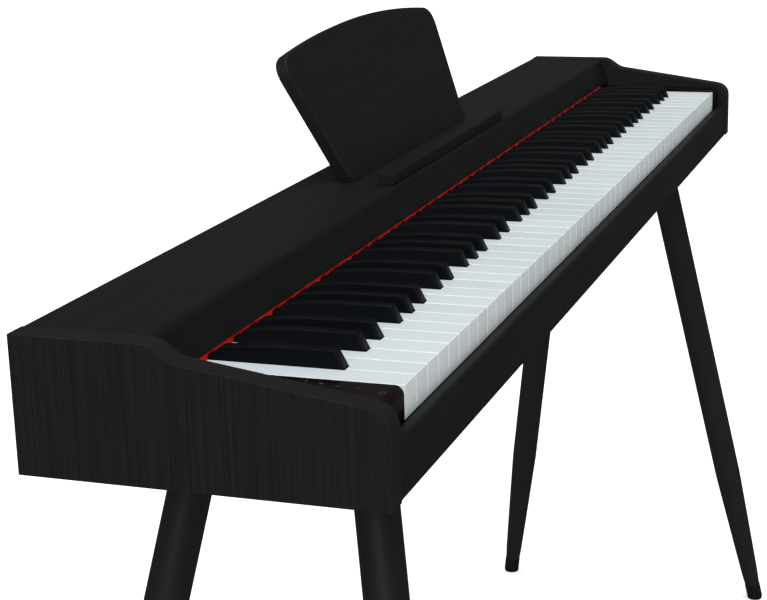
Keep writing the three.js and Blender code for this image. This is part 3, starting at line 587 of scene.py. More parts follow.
def wear_and_highlight_group():
    """Rubbed edges and painted highlights on them: a mask that is there only on rounded edges, and broken up."""
    tree, given, result = new_tree(
        "Edge wear", "ShaderNodeTree", {"Vector": VECTOR, "Scale": FLOAT, "Amount": FLOAT}, {"Wear": FLOAT}
    )
    edge = node(tree, "ShaderNodeAttribute", attribute_name="edge").outputs["Fac"]
    patches = ranged(tree, noise(tree, given["Vector"], given["Scale"], 4.0), 0.40, 0.68, 0.15, 1.0)
    wear_and_highlight = maths(tree, "MULTIPLY", maths(tree, "MULTIPLY", edge, patches), given["Amount"], clamp=True)
    tree.links.new(wear_and_highlight, result.inputs["Wear"])


def shaded(tone, factor, lift=0.0):
    """A colour made darker or lighter."""
    return [min(1.0, channel * factor + lift) for channel in tone[:3]] + [1.0]


def stipple_group():
    """The fine texture of moulded plastic, with a slower change of tone."""
    tree, given, result = new_tree(
        "Moulded stipple",
        "ShaderNodeTree",
        {"Vector": VECTOR, "Scale": FLOAT},
        {"Height": FLOAT, "Tone": FLOAT},
    )
    height = noise(tree, given["Vector"], given["Scale"], 2.0, 0.5)
    slow = maths(tree, "MULTIPLY", given["Scale"], 0.02)
    tree.links.new(height, result.inputs["Height"])
    tree.links.new(noise(tree, given["Vector"], slow, 3.0), result.inputs["Tone"])


def smudge_group():
    """Where hands and cloths have been: soft patches from 0 to 1."""
    tree, given, result = new_tree(
        "Handling", "ShaderNodeTree", {"Vector": VECTOR, "Scale": FLOAT}, {"Smudge": FLOAT}
    )
    stretched = node(
        tree, "ShaderNodeVectorMath", {0: given["Vector"], 1: (1.0, 0.45, 1.0)}, operation="MULTIPLY"
    ).outputs[0]
    patches = noise(tree, stretched, given["Scale"], 4.0, 0.6)
    tree.links.new(ranged(tree, patches, 0.35, 0.7, 0.0, 1.0), result.inputs["Smudge"])


GROUPS = {
    "Wood grain": grain_group,
    "Edge wear": wear_and_highlight_group,
    "Moulded stipple": stipple_group,
    "Handling": smudge_group,
}


def effect(tree, name, values):
    """One of the effects above, placed in a material: its outputs."""
    if name not in bpy.data.node_groups:
        GROUPS[name]()
    made = tree.nodes.new("ShaderNodeGroup")
    made.node_tree = bpy.data.node_groups[name]
    for key, value in values.items():
        if isinstance(value, bpy.types.NodeSocket):
            tree.links.new(value, made.inputs[key])
        else:
            made.inputs[key].default_value = value
    return made.outputs


# ---------------------------------------------------------------------------------------------
# Materials
# ---------------------------------------------------------------------------------------------

def new_material(name, constants):
    """A material with one Principled shader: its tree and its shader."""
    made = bpy.data.materials.new(name)
    made.use_nodes = True
    tree = made.node_tree
    tree.nodes.clear()
    shader = node(tree, "ShaderNodeBsdfPrincipled", constants)
    node(tree, "ShaderNodeOutputMaterial", {"Surface": shader.outputs[0]})
    return made, tree, shader


def placed_vector(tree, turn=(0.0, 0.0, 0.0), own=False):
    """Object coordinates, or a turned piece's own places, turned to suit a pattern."""
    if own:
        source = node(tree, "ShaderNodeAttribute", attribute_name="own_place").outputs["Vector"]
    else:
        source = node(tree, "ShaderNodeTexCoord").outputs["Object"]
    return node(tree, "ShaderNodeMapping", {"Vector": source, "Rotation": turn}).outputs[0]


def bump(tree, shader, height, strength, distance):
    """Lets a height show in the shader's normal."""
    made = node(tree, "ShaderNodeBump", {"Height": height, "Strength": strength, "Distance": distance})
    tree.links.new(made.outputs[0], shader.inputs["Normal"])


UPRIGHT = (0.0, math.pi / 2, 0.0)
LEVEL = (0.0, 0.0, 0.0)


def laminate(name, turn, dark, light, worn, along=22.0, across=620.0, fineness=0.55, own=False):
    """Black wood-grain laminate on board."""
    made, tree, shader = new_material(name, {"Specular IOR Level": 0.16})
    vector = placed_vector(tree, turn, own)
    shape = {"Vector": vector, "Along": along, "Across": across, "Fineness": fineness}
    grain = effect(tree, "Wood grain", shape)
    wear_and_highlight = effect(tree, "Edge wear", {"Vector": vector, "Scale": 70.0, "Amount": 0.3})
    smudge = effect(tree, "Handling", {"Vector": vector, "Scale": 9.0})
    ground = blended(tree, grain["Streak"], dark, light)
    tree.links.new(blended(tree, wear_and_highlight["Wear"], ground, worn), shader.inputs["Base Color"])
    streaky = ranged(tree, grain["Streak"], 0.0, 1.0, 0.56, 0.48)
    rough = maths(tree, "ADD", streaky, maths(tree, "MULTIPLY", smudge["Smudge"], 0.06))
    tree.links.new(rough, shader.inputs["Roughness"])
    bump(tree, shader, grain["Height"], 0.35, 0.00012)
    return made


def edge_band(name, tone, worn):
    """Smooth black edge band."""
    made, tree, shader = new_material(name, {"Specular IOR Level": 0.18})
    vector = placed_vector(tree)
    stipple = effect(tree, "Moulded stipple", {"Vector": vector, "Scale": 900.0})
    wear_and_highlight = effect(tree, "Edge wear", {"Vector": vector, "Scale": 55.0, "Amount": 0.25})
    deeper = shaded(tone, 0.82)
    ground = blended(tree, stipple["Tone"], deeper, tone)
    tree.links.new(blended(tree, wear_and_highlight["Wear"], ground, worn), shader.inputs["Base Color"])
    tree.links.new(ranged(tree, stipple["Tone"], 0.3, 0.7, 0.46, 0.58), shader.inputs["Roughness"])
    bump(tree, shader, stipple["Height"], 0.12, 0.00006)
    return made


def key_plastic(name, tone, low_rough, high_rough, stipple_scale, stipple_depth, constants):
    """Moulded plastic of the keys: each key has a tone of its own."""
    made, tree, shader = new_material(name, constants)
    vector = placed_vector(tree)
    own_tone = node(tree, "ShaderNodeAttribute", attribute_name="key_tone").outputs["Fac"]
    stipple = effect(tree, "Moulded stipple", {"Vector": vector, "Scale": stipple_scale})
    smudge = effect(tree, "Handling", {"Vector": vector, "Scale": 26.0})
    # Lighter colour on the keys' rounded edges through this mask: a painted highlight where light catches the
    # edges, with a little rubbing.
    wear_and_highlight = effect(tree, "Edge wear", {"Vector": vector, "Scale": 120.0, "Amount": 0.55})
    deeper = shaded(tone, 0.93)
    lighter = shaded(tone, 1.12, 0.006)
    ground = blended(tree, own_tone, deeper, tone)
    tree.links.new(blended(tree, wear_and_highlight["Wear"], ground, lighter), shader.inputs["Base Color"])
    rough = ranged(tree, smudge["Smudge"], 0.0, 1.0, low_rough, high_rough)
    tree.links.new(rough, shader.inputs["Roughness"])
    bump(tree, shader, stipple["Height"], 0.25, stipple_depth)
    return made


def felt_cloth(name, tone):
    """Pressed wool felt, mottled and matt."""
    made, tree, shader = new_material(
        name, {"Specular IOR Level": 0.1, "Sheen Weight": 0.5, "Sheen Roughness": 0.5, "Sheen Tint": tone}
    )
    vector = placed_vector(tree)
    fibres = noise(tree, vector, 900.0, 4.0, 0.7)
    clumps = noise(tree, vector, 160.0, 3.0)
    deeper = shaded(tone, 0.55)
    mottle = maths(tree, "ADD", maths(tree, "MULTIPLY", fibres, 0.6), maths(tree, "MULTIPLY", clumps, 0.4))
    ground = blended(tree, ranged(tree, mottle, 0.35, 0.62, 0.0, 1.0), deeper, tone)
    tree.links.new(ground, shader.inputs["Base Color"])
    tree.links.new(ranged(tree, fibres, 0.3, 0.7, 0.85, 1.0), shader.inputs["Roughness"])
    bump(tree, shader, fibres, 0.8, 0.0004)
    return made


def gloss_plastic(name, tone):
    """Polished dark plastic, with smudges that only show in its gloss."""
    made, tree, shader = new_material(
        name, {"Specular IOR Level": 0.12, "Coat Weight": 0.03, "Coat Roughness": 0.08, "Coat IOR": 1.5}
    )
    vector = placed_vector(tree)
    smudge = effect(tree, "Handling", {"Vector": vector, "Scale": 60.0})
    stipple = effect(tree, "Moulded stipple", {"Vector": vector, "Scale": 420.0})
    deeper = shaded(tone, 0.7)
    tree.links.new(blended(tree, stipple["Tone"], deeper, tone), shader.inputs["Base Color"])
    tree.links.new(ranged(tree, smudge["Smudge"], 0.0, 1.0, 0.14, 0.26), shader.inputs["Roughness"])
    bump(tree, shader, stipple["Height"], 0.05, 0.00005)
    return made


def satin(name, tone, metallic=0.0, rough=(0.45, 0.6), scale=1100.0, depth=0.0001, level=0.3, own=False):
    """Paint, rubber, moulded plastic or plated steel: one tone with stipple, wear and smudges."""
    made, tree, shader = new_material(name, {"Specular IOR Level": level, "Metallic": metallic})
    vector = placed_vector(tree, own=own)
    stipple = effect(tree, "Moulded stipple", {"Vector": vector, "Scale": scale})
    wear_and_highlight = effect(tree, "Edge wear", {"Vector": vector, "Scale": 90.0, "Amount": 0.4})
    smudge = effect(tree, "Handling", {"Vector": vector, "Scale": 30.0})
    deeper = shaded(tone, 0.8)
    lighter = shaded(tone, 1.5, 0.008)
    ground = blended(tree, stipple["Tone"], deeper, tone)
    tree.links.new(blended(tree, wear_and_highlight["Wear"], ground, lighter), shader.inputs["Base Color"])
    tree.links.new(ranged(tree, smudge["Smudge"], 0.0, 1.0, *rough), shader.inputs["Roughness"])
    bump(tree, shader, stipple["Height"], 0.3, depth)
    return made


def circuit_board(name, mask, copper):
    """Solder mask with rows of tinned pads under it."""
    made, tree, shader = new_material(name, {"Specular IOR Level": 0.5})
    vector = placed_vector(tree)
    tracks = node(
        tree, "ShaderNodeTexBrick", {"Vector": vector, "Scale": 240.0, "Mortar Size": 0.06, "Bias": 0.0}
    ).outputs["Fac"]
    pads = node(tree, "ShaderNodeTexVoronoi", {"Vector": vector, "Scale": 330.0}).outputs["Distance"]
    dots = ranged(tree, pads, 0.14, 0.2, 1.0, 0.0)
    lighter = shaded(mask, 1.5)
    ground = blended(tree, tracks, mask, lighter)
    tree.links.new(blended(tree, dots, ground, copper), shader.inputs["Base Color"])
    tree.links.new(ranged(tree, dots, 0.0, 1.0, 0.42, 0.25), shader.inputs["Roughness"])
    bump(tree, shader, maths(tree, "ADD", tracks, dots), 0.3, 0.00008)
    return made


def turned_wood(name, tone):
    """Plain beech with its short dark flecks."""
    made, tree, shader = new_material(name, {"Specular IOR Level": 0.3})
    vector = placed_vector(tree, UPRIGHT)
    shape = {"Vector": vector, "Along": 60.0, "Across": 900.0, "Fineness": 0.55}
    grain = effect(tree, "Wood grain", shape)
    deeper = shaded(tone, 0.72)
    tree.links.new(blended(tree, grain["Streak"], deeper, tone), shader.inputs["Base Color"])
    tree.links.new(ranged(tree, grain["Streak"], 0.0, 1.0, 0.6, 0.5), shader.inputs["Roughness"])
    bump(tree, shader, grain["Height"], 0.3, 0.0001)
    return made


def settings(name):
    """One group of the sizes and colours."""
    return getattr(bpy.context.scene, name)


def laminate_of(name, turn, lift=1.0, calm=0.0, **extra):
    """One of the case's laminates: `lift` makes it lighter, `calm` draws its two colours together."""
    case = settings("piano_case")
    pairs = list(zip(case.laminate_dark[:3], case.laminate_light[:3]))
    dark = [lift * (dull + (bright - dull) * calm / 2) for dull, bright in pairs] + [1.0]
    light = [lift * (bright - (bright - dull) * calm / 2) for dull, bright in pairs] + [1.0]
    return laminate(name, turn, dark, light, case.worn, **extra)


BLACK_GLOSS = {"Specular IOR Level": 0.09}
WHITE_GLOSS = {"Specular IOR Level": 0.45, "Coat Weight": 0.1, "Coat Roughness": 0.2}
FINISHES = {
    "laminate_long": lambda n: laminate_of(n, LEVEL, calm=0.6),
    "laminate_upright": lambda n: laminate_of(n, UPRIGHT, along=10.0, across=1350.0, fineness=0.85),
    # The rest's laminate is the case's made 1.2 times lighter: painted light, so that the leaning rest shows as
    # bright as the case.
    "laminate_rest": lambda n: laminate_of(n, LEVEL, lift=1.2, calm=0.65, own=True),
    "cheek_edging": lambda n: edge_band(n, settings("piano_case").edging, settings("piano_case").worn),
    "white_key_plastic": lambda n: key_plastic(
        n, settings("piano_keyboard").white, 0.34, 0.40, 900.0, 0.00001, WHITE_GLOSS
    ),
    "black_key_plastic": lambda n: key_plastic(
        n, settings("piano_keyboard").black, 0.40, 0.48, 1500.0, 0.00004, BLACK_GLOSS
    ),
    "red_felt": lambda n: felt_cloth(n, settings("piano_keyboard").felt),
    "touch_gloss": lambda n: gloss_plastic(n, settings("piano_keyboard").gloss),
    "symbol_print": lambda n: satin(n, settings("piano_keyboard").symbol, rough=(0.3, 0.4), depth=0.00002),
    "dark_moulding": lambda n: satin(n, settings("piano_keyboard").moulding),
    "satin_paint": lambda n: satin(n, settings("piano_stand").paint, level=0.2, own=True),
    "foot_pad": lambda n: satin(n, settings("piano_stand").rubber, rough=(0.75, 0.9), level=0.15),
    "zinc_steel": lambda n: satin(n, settings("piano_stand").steel, 1.0, (0.34, 0.5), 500.0, 0.00004),
    "black_screw": lambda n: satin(n, settings("piano_stand").screw, 1.0, (0.35, 0.5), 900.0, 0.00002),
    "cone_paper": lambda n: satin(n, settings("piano_back").cone, rough=(0.8, 0.95), scale=1600.0),
    "solder_mask": lambda n: circuit_board(n, settings("piano_back").board, settings("piano_back").copper),
    "tinned_contact": lambda n: satin(n, settings("piano_back").copper, 1.0, (0.25, 0.4), 600.0, 0.00002),
    "peg_beech": lambda n: turned_wood(n, settings("piano_back").beech),
}


def finish(name):
    """A finish by its name, made the first time that it is asked for."""
    return bpy.data.materials.get(name) or FINISHES[name](name)


# ---------------------------------------------------------------------------------------------
# Geometry nodes
# ---------------------------------------------------------------------------------------------

def tone_for_each(tree, instances, seed):
    """Gives each instance a random tone from 0 to 1."""
    tone = node(tree, "FunctionNodeRandomValue", {"Seed": seed}, data_type="FLOAT").outputs[1]
    values = {"Geometry": instances, "Name": "key_tone", "Value": tone}
    stored = node(tree, "GeometryNodeStoreNamedAttribute", values, data_type="FLOAT", domain="INSTANCE")
    return stored.outputs[0]


def realised(tree, result, geometries, material):
    """Ends a tree: instances become real, and everything takes one finish."""
    joined = node(tree, "GeometryNodeJoinGeometry", {"Geometry": geometries}).outputs[0]
    real = node(tree, "GeometryNodeRealizeInstances", {"Geometry": joined}).outputs[0]
    finished = node(tree, "GeometryNodeSetMaterial", {"Geometry": real, "Material": material})
    tree.links.new(finished.outputs[0], result.inputs["Geometry"])


GEOMETRY = {"Geometry": "NodeSocketGeometry"}


def row_tree():
    """Keys side by side: the children of a collection in the order of their names, one pitch apart."""
    tree, given, result = new_tree(
        "Keys in a row",
        "GeometryNodeTree",
        {
            "Geometry": "NodeSocketGeometry",
            "Keys": "NodeSocketCollection",
            "Count": "NodeSocketInt",
            "Pitch": FLOAT,
            "Start": VECTOR,
            "Height spread": FLOAT,
            "Seed": "NodeSocketInt",
            "Finish": "NodeSocketMaterial",
        },
        GEOMETRY,
    )
    step = node(tree, "ShaderNodeCombineXYZ", {0: given["Pitch"]}).outputs[0]
    line = node(
        tree,
        "GeometryNodeMeshLine",
        {"Count": given["Count"], "Start Location": given["Start"], "Offset": step},
        mode="OFFSET",
        count_mode="TOTAL",
    )
    kept_apart = {"Collection": given["Keys"], "Separate Children": True}
    keys = node(tree, "GeometryNodeCollectionInfo", kept_apart)
    index = node(tree, "GeometryNodeInputIndex")
    placed = node(
        tree,
        "GeometryNodeInstanceOnPoints",
        {
            "Points": line.outputs[0],
            "Instance": keys.outputs[0],
            "Pick Instance": True,
            "Instance Index": index.outputs[0],
        },
    )
    drop = maths(tree, "MULTIPLY", given["Height spread"], -1.0)
    span = {2: drop, 3: 0.0, "Seed": given["Seed"]}
    height = node(tree, "FunctionNodeRandomValue", span, data_type="FLOAT")
    shift = node(tree, "ShaderNodeCombineXYZ", {2: height.outputs[1]}).outputs[0]
    lowered = {"Instances": placed.outputs[0], "Translation": shift}
    settled = node(tree, "GeometryNodeTranslateInstances", lowered)
    toned = tone_for_each(tree, settled.outputs[0], given["Seed"])
    realised(tree, result, [given["Geometry"], toned], given["Finish"])
    return tree


def places_tree():
    """One shape at each point, turned to face as the point does and spun about that direction."""
    tree, given, result = new_tree(
        "Pieces at places",
        "GeometryNodeTree",
        {
            "Geometry": "NodeSocketGeometry",
            "Piece": "NodeSocketObject",
            "Spin": FLOAT,
            "Seed": "NodeSocketInt",
            "Finish": "NodeSocketMaterial",
            "Bar": "NodeSocketObject",
        },
        GEOMETRY,
    )
    shape = node(tree, "GeometryNodeObjectInfo", {"Object": given["Piece"]})
    bar = node(tree, "GeometryNodeObjectInfo", {"Object": given["Bar"]})
    facing = node(tree, "GeometryNodeInputNamedAttribute", {"Name": "facing"}, data_type="FLOAT_VECTOR")
    turn = node(tree, "FunctionNodeAlignRotationToVector", {"Vector": facing.outputs[0]}, axis="Z")
    span = {2: 0.0, 3: given["Spin"], "Seed": given["Seed"]}
    angle_of = node(tree, "FunctionNodeRandomValue", span, data_type="FLOAT")
    about_facing = {"Axis": (0.0, 0.0, 1.0), "Angle": angle_of.outputs[1]}
    spin = node(tree, "FunctionNodeAxisAngleToRotation", about_facing)
    turned = node(
        tree,
        "FunctionNodeRotateRotation",
        {"Rotation": turn.outputs[0], "Rotate By": spin.outputs[0]},
        rotation_space="LOCAL",
    )
    placed = node(
        tree,
        "GeometryNodeInstanceOnPoints",
        {"Points": given["Geometry"], "Instance": shape.outputs["Geometry"], "Rotation": turned.outputs[0]},
    )
    toned = tone_for_each(tree, placed.outputs[0], given["Seed"])
    realised(tree, result, [bar.outputs["Geometry"], toned], given["Finish"])
    return tree


def nap_tree():
    """Felt with its nap: short loose fibres scattered over a surface."""
    tree, given, result = new_tree(
        "Felt nap",
        "GeometryNodeTree",
        {
            "Geometry": "NodeSocketGeometry",
            "Density": FLOAT,
            "Length": FLOAT,
            "Seed": "NodeSocketInt",
            "Finish": "NodeSocketMaterial",
        },
        GEOMETRY,
    )
    spots = node(
        tree,
        "GeometryNodeDistributePointsOnFaces",
        {"Mesh": given["Geometry"], "Density": given["Density"], "Seed": given["Seed"]},
        distribute_method="RANDOM",
    )
    thickness = maths(tree, "MULTIPLY", given["Length"], 0.06)
    fibre = node(
        tree,
        "GeometryNodeMeshCone",
        {"Vertices": 3, "Radius Top": 0.0, "Radius Bottom": thickness, "Depth": given["Length"]},
        fill_type="NGON",
    )
    lean = node(
        tree,
        "FunctionNodeRandomValue",
        {0: (-0.9, -0.9, -3.1), 1: (0.9, 0.9, 3.1), "Seed": given["Seed"]},
        data_type="FLOAT_VECTOR",
    )
    leaning = node(tree, "FunctionNodeEulerToRotation", {0: lean.outputs[0]})
    turned = node(
        tree,
        "FunctionNodeRotateRotation",
        {"Rotation": spots.outputs["Rotation"], "Rotate By": leaning.outputs[0]},
        rotation_space="LOCAL",
    )
    size = node(
        tree, "FunctionNodeRandomValue", {2: 0.35, 3: 1.0, "Seed": given["Seed"]}, data_type="FLOAT"
    ).outputs[1]
    fibres = node(
        tree,
        "GeometryNodeInstanceOnPoints",
        {
            "Points": spots.outputs["Points"],
            "Instance": fibre.outputs["Mesh"],
            "Rotation": turned.outputs[0],
            "Scale": size,
        },
    )
    realised(tree, result, [given["Geometry"], fibres.outputs[0]], given["Finish"])
    return tree


TREES = {"Keys in a row": row_tree, "Pieces at places": places_tree, "Felt nap": nap_tree}


def grown(tree_name, mesh, values):
    """The plain mesh that a tree makes from a mesh, with the tree's inputs set by name."""
    tree = bpy.data.node_groups.get(tree_name) or TREES[tree_name]()
    base = holder(mesh)
    modifier = base.modifiers.new("Growth", "NODES")
    modifier.node_group = tree
    for item in tree.interface.items_tree:
        if item.in_out == "INPUT" and item.name in values:
            modifier[item.identifier] = values[item.name]
    made = plain_mesh(base)
    base.modifiers.remove(modifier)
    discard(base)
    if not made.polygons:
        raise RuntimeError(f"{tree_name} made nothing")
    return made


def at_places(name, places, shape, body, seed, spin=0.0, bar=None, replaced=()):
    """A shape at each (point, facing), as one piece with the finish that the shape has."""
    mesh = bpy.data.meshes.new("places")
    mesh.from_pydata([place for place, facing in places], [], [])
    layer = mesh.attributes.new("facing", "FLOAT_VECTOR", "POINT")
    layer.data.foreach_set("vector", [number for place, facing in places for number in facing])
    values = {"Piece": shape, "Spin": spin, "Seed": seed, "Finish": shape.data.materials[0]}
    if bar is not None:
        values["Bar"] = bar
    return keep(grown("Pieces at places", mesh, values), name, body, replaced)


def prototype(solid, name, material):
    """A shape that is only there to be repeated."""
    shape = held(solid)
    shape.name = name
    shape.data.materials.append(material)
    return shape


# ---------------------------------------------------------------------------------------------
# Case
# ---------------------------------------------------------------------------------------------

def cheek_outline(node_name):
    """A cheek from the side: a level top, an S-curve, a slope and a rounded front."""
    case = settings("piano_case")
    front, foot = low(node_name).yz
    back, top = high(node_name).yz
    curve_low = top - case.curve_drop
    slope_low = curve_low - case.slope_drop
    fall = case.slope_drop / (case.curve_front - case.slope_end)
    third = (case.curve_back - case.curve_front) / 2.4
    curve = [
        (front + case.curve_back, top),
        (front + case.curve_back - third, top),
        (front + case.curve_front + third, curve_low + third * fall),
        (front + case.curve_front, curve_low),
    ]
    nose = [
        (front + case.slope_end, slope_low),
        (front, slope_low - case.slope_end * fall),
        (front, slope_low - case.nose),
    ]
    return [(front, foot), (back, foot), (back, top), *bezier(curve, 12), *bezier(nose, 10)]


class PIANO_OT_cheeks(bpy.types.Operator):
    """Build the two cheeks, with a band round their edges"""

    bl_idname = "piano.cheeks"
    bl_label = "Cheeks"

    def execute(self, context):
        case = context.scene.piano_case
        for side in SIDES:
            node_name = f"{side}_cheek"
            solid = prism(cheek_outline(node_name), "X", low(node_name).x, high(node_name).x)
            for face in solid.faces:
                face.material_index = 0 if abs(face.normal.x) > 0.5 else 1
            rims = [
                edge
                for edge in solid.edges
                if abs(edge.verts[0].co.x - edge.verts[1].co.x) < SAME_PLACE
            ]
            soften(solid, rims, case.board_edge)
            corners = [edge for edge in sharp_edges(solid, 60)]
            soften(solid, corners, case.board_edge)
            finishes = [finish("laminate_upright"), finish("cheek_edging")]
            add(solid, f"cheek_{side}", CASE, finishes, (node_name,))
        return {"FINISHED"}


def top_edge_centre():
    """The (y, z) middle of the rounding between the top board and the fallboard."""
    case = settings("piano_case")
    front = low("fallboard").y + case.fallboard_lean
    return front + case.top_radius, high("top_panel").z - case.top_radius


class PIANO_OT_top(bpy.types.Operator):
    """Build the top board and the fallboard, mitred together on a rounded edge"""

    bl_idname = "piano.top"
    bl_label = "Top board and fallboard"

    def execute(self, context):
        case = context.scene.piano_case
        centre = top_edge_centre()
        board_low, board_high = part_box("top_panel")
        fall_low, fall_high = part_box("fallboard")
        seam = 0.00012
        mitre = arc(centre, case.top_radius, 135, 90, 5)
        mitre[0] = (mitre[0][0] + seam, mitre[0][1] + seam / 2)
        outline = [*mitre, (board_high.y, board_high.z), (board_high.y, board_low.z)]
        outline.append((fall_high.y + seam, board_low.z))
        board = prism(outline, "X", board_low.x, board_high.x)
        rest = settings("piano_rest")
        holes = []
        for side in SIDES:
            peg = middle(f"rest_peg_{side}")
            hole = lathe([(0, -0.04), (rest.peg_hole, -0.04), (rest.peg_hole, 0.04), (0, 0.04)], 24)
            holes.append(moved(hole, Matrix.Translation(peg) @ Matrix.Rotation(-REST_TILT, 4, "X")))
        board = cut(board, *holes)
        ends = [edge for edge in sharp_edges(board, 60) if edge.calc_length() > 0.0016]
        soften(board, ends, 0.0004)
        long_grain = finish("laminate_long")
        add(board, "top_board", CASE, [long_grain], ("top_panel",))

        face = arc(centre, case.top_radius, 135, 180, 5)
        thickness = fall_high.y - fall_low.y - case.fallboard_lean
        outline = [
            *face,
            (fall_low.y, fall_low.z),
            (fall_low.y + thickness, fall_low.z),
            (fall_high.y, board_low.z),
        ]
        board = prism(outline, "X", fall_low.x, fall_high.x)
        soften(board, sharp_edges(board, 60), 0.0004)
        add(board, "fall_board", CASE, [long_grain], ("fallboard",))
        return {"FINISHED"}


class PIANO_OT_rail(bpy.types.Operator):
    """Build the rail in front of the keys"""

    bl_idname = "piano.rail"
    bl_label = "Front rail"

    def execute(self, context):
        case = context.scene.piano_case
        start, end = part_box("front_rail")
        centre = (start.y + case.rail_radius, end.z - case.rail_radius)
        outline = [
            (start.y, start.z),
            (end.y, start.z),
            (end.y, end.z),
            *arc(centre, case.rail_radius, 90, 180, 6),
        ]
        rail = prism(outline, "X", start.x, end.x)
        soften(rail, sharp_edges(rail, 60), 0.0005)
        add(rail, "rail_board", CASE, [finish("laminate_long")], ("front_rail",))
        return {"FINISHED"}


def speaker_slots(side, near, far):
    """Cutters for the upright slots behind one loudspeaker; they follow a circle."""
    back = settings("piano_back")
    centre = middle(f"speaker_{side}")
    reach = (back.slots - 1) / 2
    cutters = []
    for index in range(back.slots):
        step = index - reach
        x = centre.x + step * back.slot_pitch
        half = back.slot_height / 2 * math.sqrt(1 - (step / (reach + 1)) ** 2)
        width = back.slot_width / 2
        outline = rectangle(x - width, x + width, centre.z - half, centre.z + half, width * 0.98, 5)
        cutters.append(prism(outline, "Y", near, far))
    return cutters


class PIANO_OT_lower_boards(bpy.types.Operator):
    """Build the bottom board and the back board, with its slots and its opening for the sockets"""

    bl_idname = "piano.lower_boards"
    bl_label = "Bottom and back boards"

    def execute(self, context):
        case = context.scene.piano_case
        long_grain = finish("laminate_long")
        start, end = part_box("bottom_panel")
        board = prism(rectangle(start.x, end.x, start.y, end.y), "Z", start.z, end.z)
        board = softened(board, case.board_edge)
        add(board, "bottom_board", CASE, [long_grain], ("bottom_panel",))

        start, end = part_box("back_panel")
        face = end.y - case.back_inset
        board = prism(rectangle(start.x, end.x, start.z, end.z), "Y", start.y, face)
        near, far = start.y - 0.01, end.y + 0.01
        plate_low, plate_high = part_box("socket_plate")
        over = context.scene.piano_back.plate_overlap
        opening = rectangle(
            plate_low.x + over, plate_high.x - over, plate_low.z + over, plate_high.z - over, 0.002
        )
        cutters = [prism(opening, "Y", near, far)]
        for side in SIDES:
            cutters += speaker_slots(side, near, far)
        board = softened(cut(board, *cutters), 0.0004, 1, 60)
        add(board, "back_board", CASE, [long_grain], ("back_panel",))
        return {"FINISHED"}


# ---------------------------------------------------------------------------------------------
# Music rest
# ---------------------------------------------------------------------------------------------

class PIANO_OT_music_rest(bpy.types.Operator):
    """Build the leaning music rest with its arched top"""

    bl_idname = "piano.music_rest"
    bl_label = "Music rest"

    def execute(self, context):
        rest = context.scene.piano_rest
        start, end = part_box("music_rest")
        base, wide = rest.base_width / 2, (end.x - start.x) / 2
        tall = (end.z - start.z) / math.cos(REST_TILT)
        flare = (wide - base) / rest.widest
        rise = rest.corner - rest.shoulder
        tip = rest.corner - rest.corner_drop
        below = rest.thickness
        shoulder = (base + flare * rest.shoulder, rest.shoulder)
        corner = [shoulder, (base + flare * rest.corner, tip), (wide - rise, rest.corner)]
        crown = [(wide - rise, rest.corner), (0.0, 2 * tall - rest.corner), (rise - wide, rest.corner)]
        half = bezier(corner, 8)
        outline = [(flare * below - base, -below), (base - flare * below, -below), *half]
        outline += bezier(crown, 28)[1:-1]
        outline += [(-x, z) for x, z in reversed(half)]
        board = prism(outline, "Y", 0.0, rest.thickness)
        rims = [edge for edge in board.edges if abs(edge.verts[0].co.y - edge.verts[1].co.y) < SAME_PLACE]
        soften(board, rims, rest.edge, 3)
        own_places(board)
        hinge = Vector(((start.x + end.x) / 2, start.y, start.z))
        moved(board, Matrix.Translation(hinge) @ Matrix.Rotation(-REST_TILT, 4, "X"))
        trimmed(board, hinge, (0.0, 0.0, 1.0))
        add(board, "rest_board", "music_rest", [finish("laminate_rest")], ("music_rest",))
        return {"FINISHED"}


class PIANO_OT_ledge(bpy.types.Operator):
    """Build the ledge that the sheet music stands on"""

    bl_idname = "piano.ledge"
    bl_label = "Music ledge"

    def execute(self, context):
        rest = context.scene.piano_rest
        start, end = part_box("music_ledge")
        centre = (start.y + rest.ledge_radius, end.z - rest.ledge_radius)
        outline = [
            (start.y, start.z),
            (end.y, start.z),
            (end.y, end.z),
            *arc(centre, rest.ledge_radius, 90, 180, 5),
        ]
        ledge = prism(outline, "X", start.x, end.x)
        soften(ledge, sharp_edges(ledge, 60), 0.0005)
        add(ledge, "rest_ledge", CASE, [finish("laminate_long")], ("music_ledge",))
        return {"FINISHED"}


# ---------------------------------------------------------------------------------------------
# Keys
# ---------------------------------------------------------------------------------------------

WHITE_NAMES = ("lowest_a", "lowest_b", *NOTES, "highest_c")


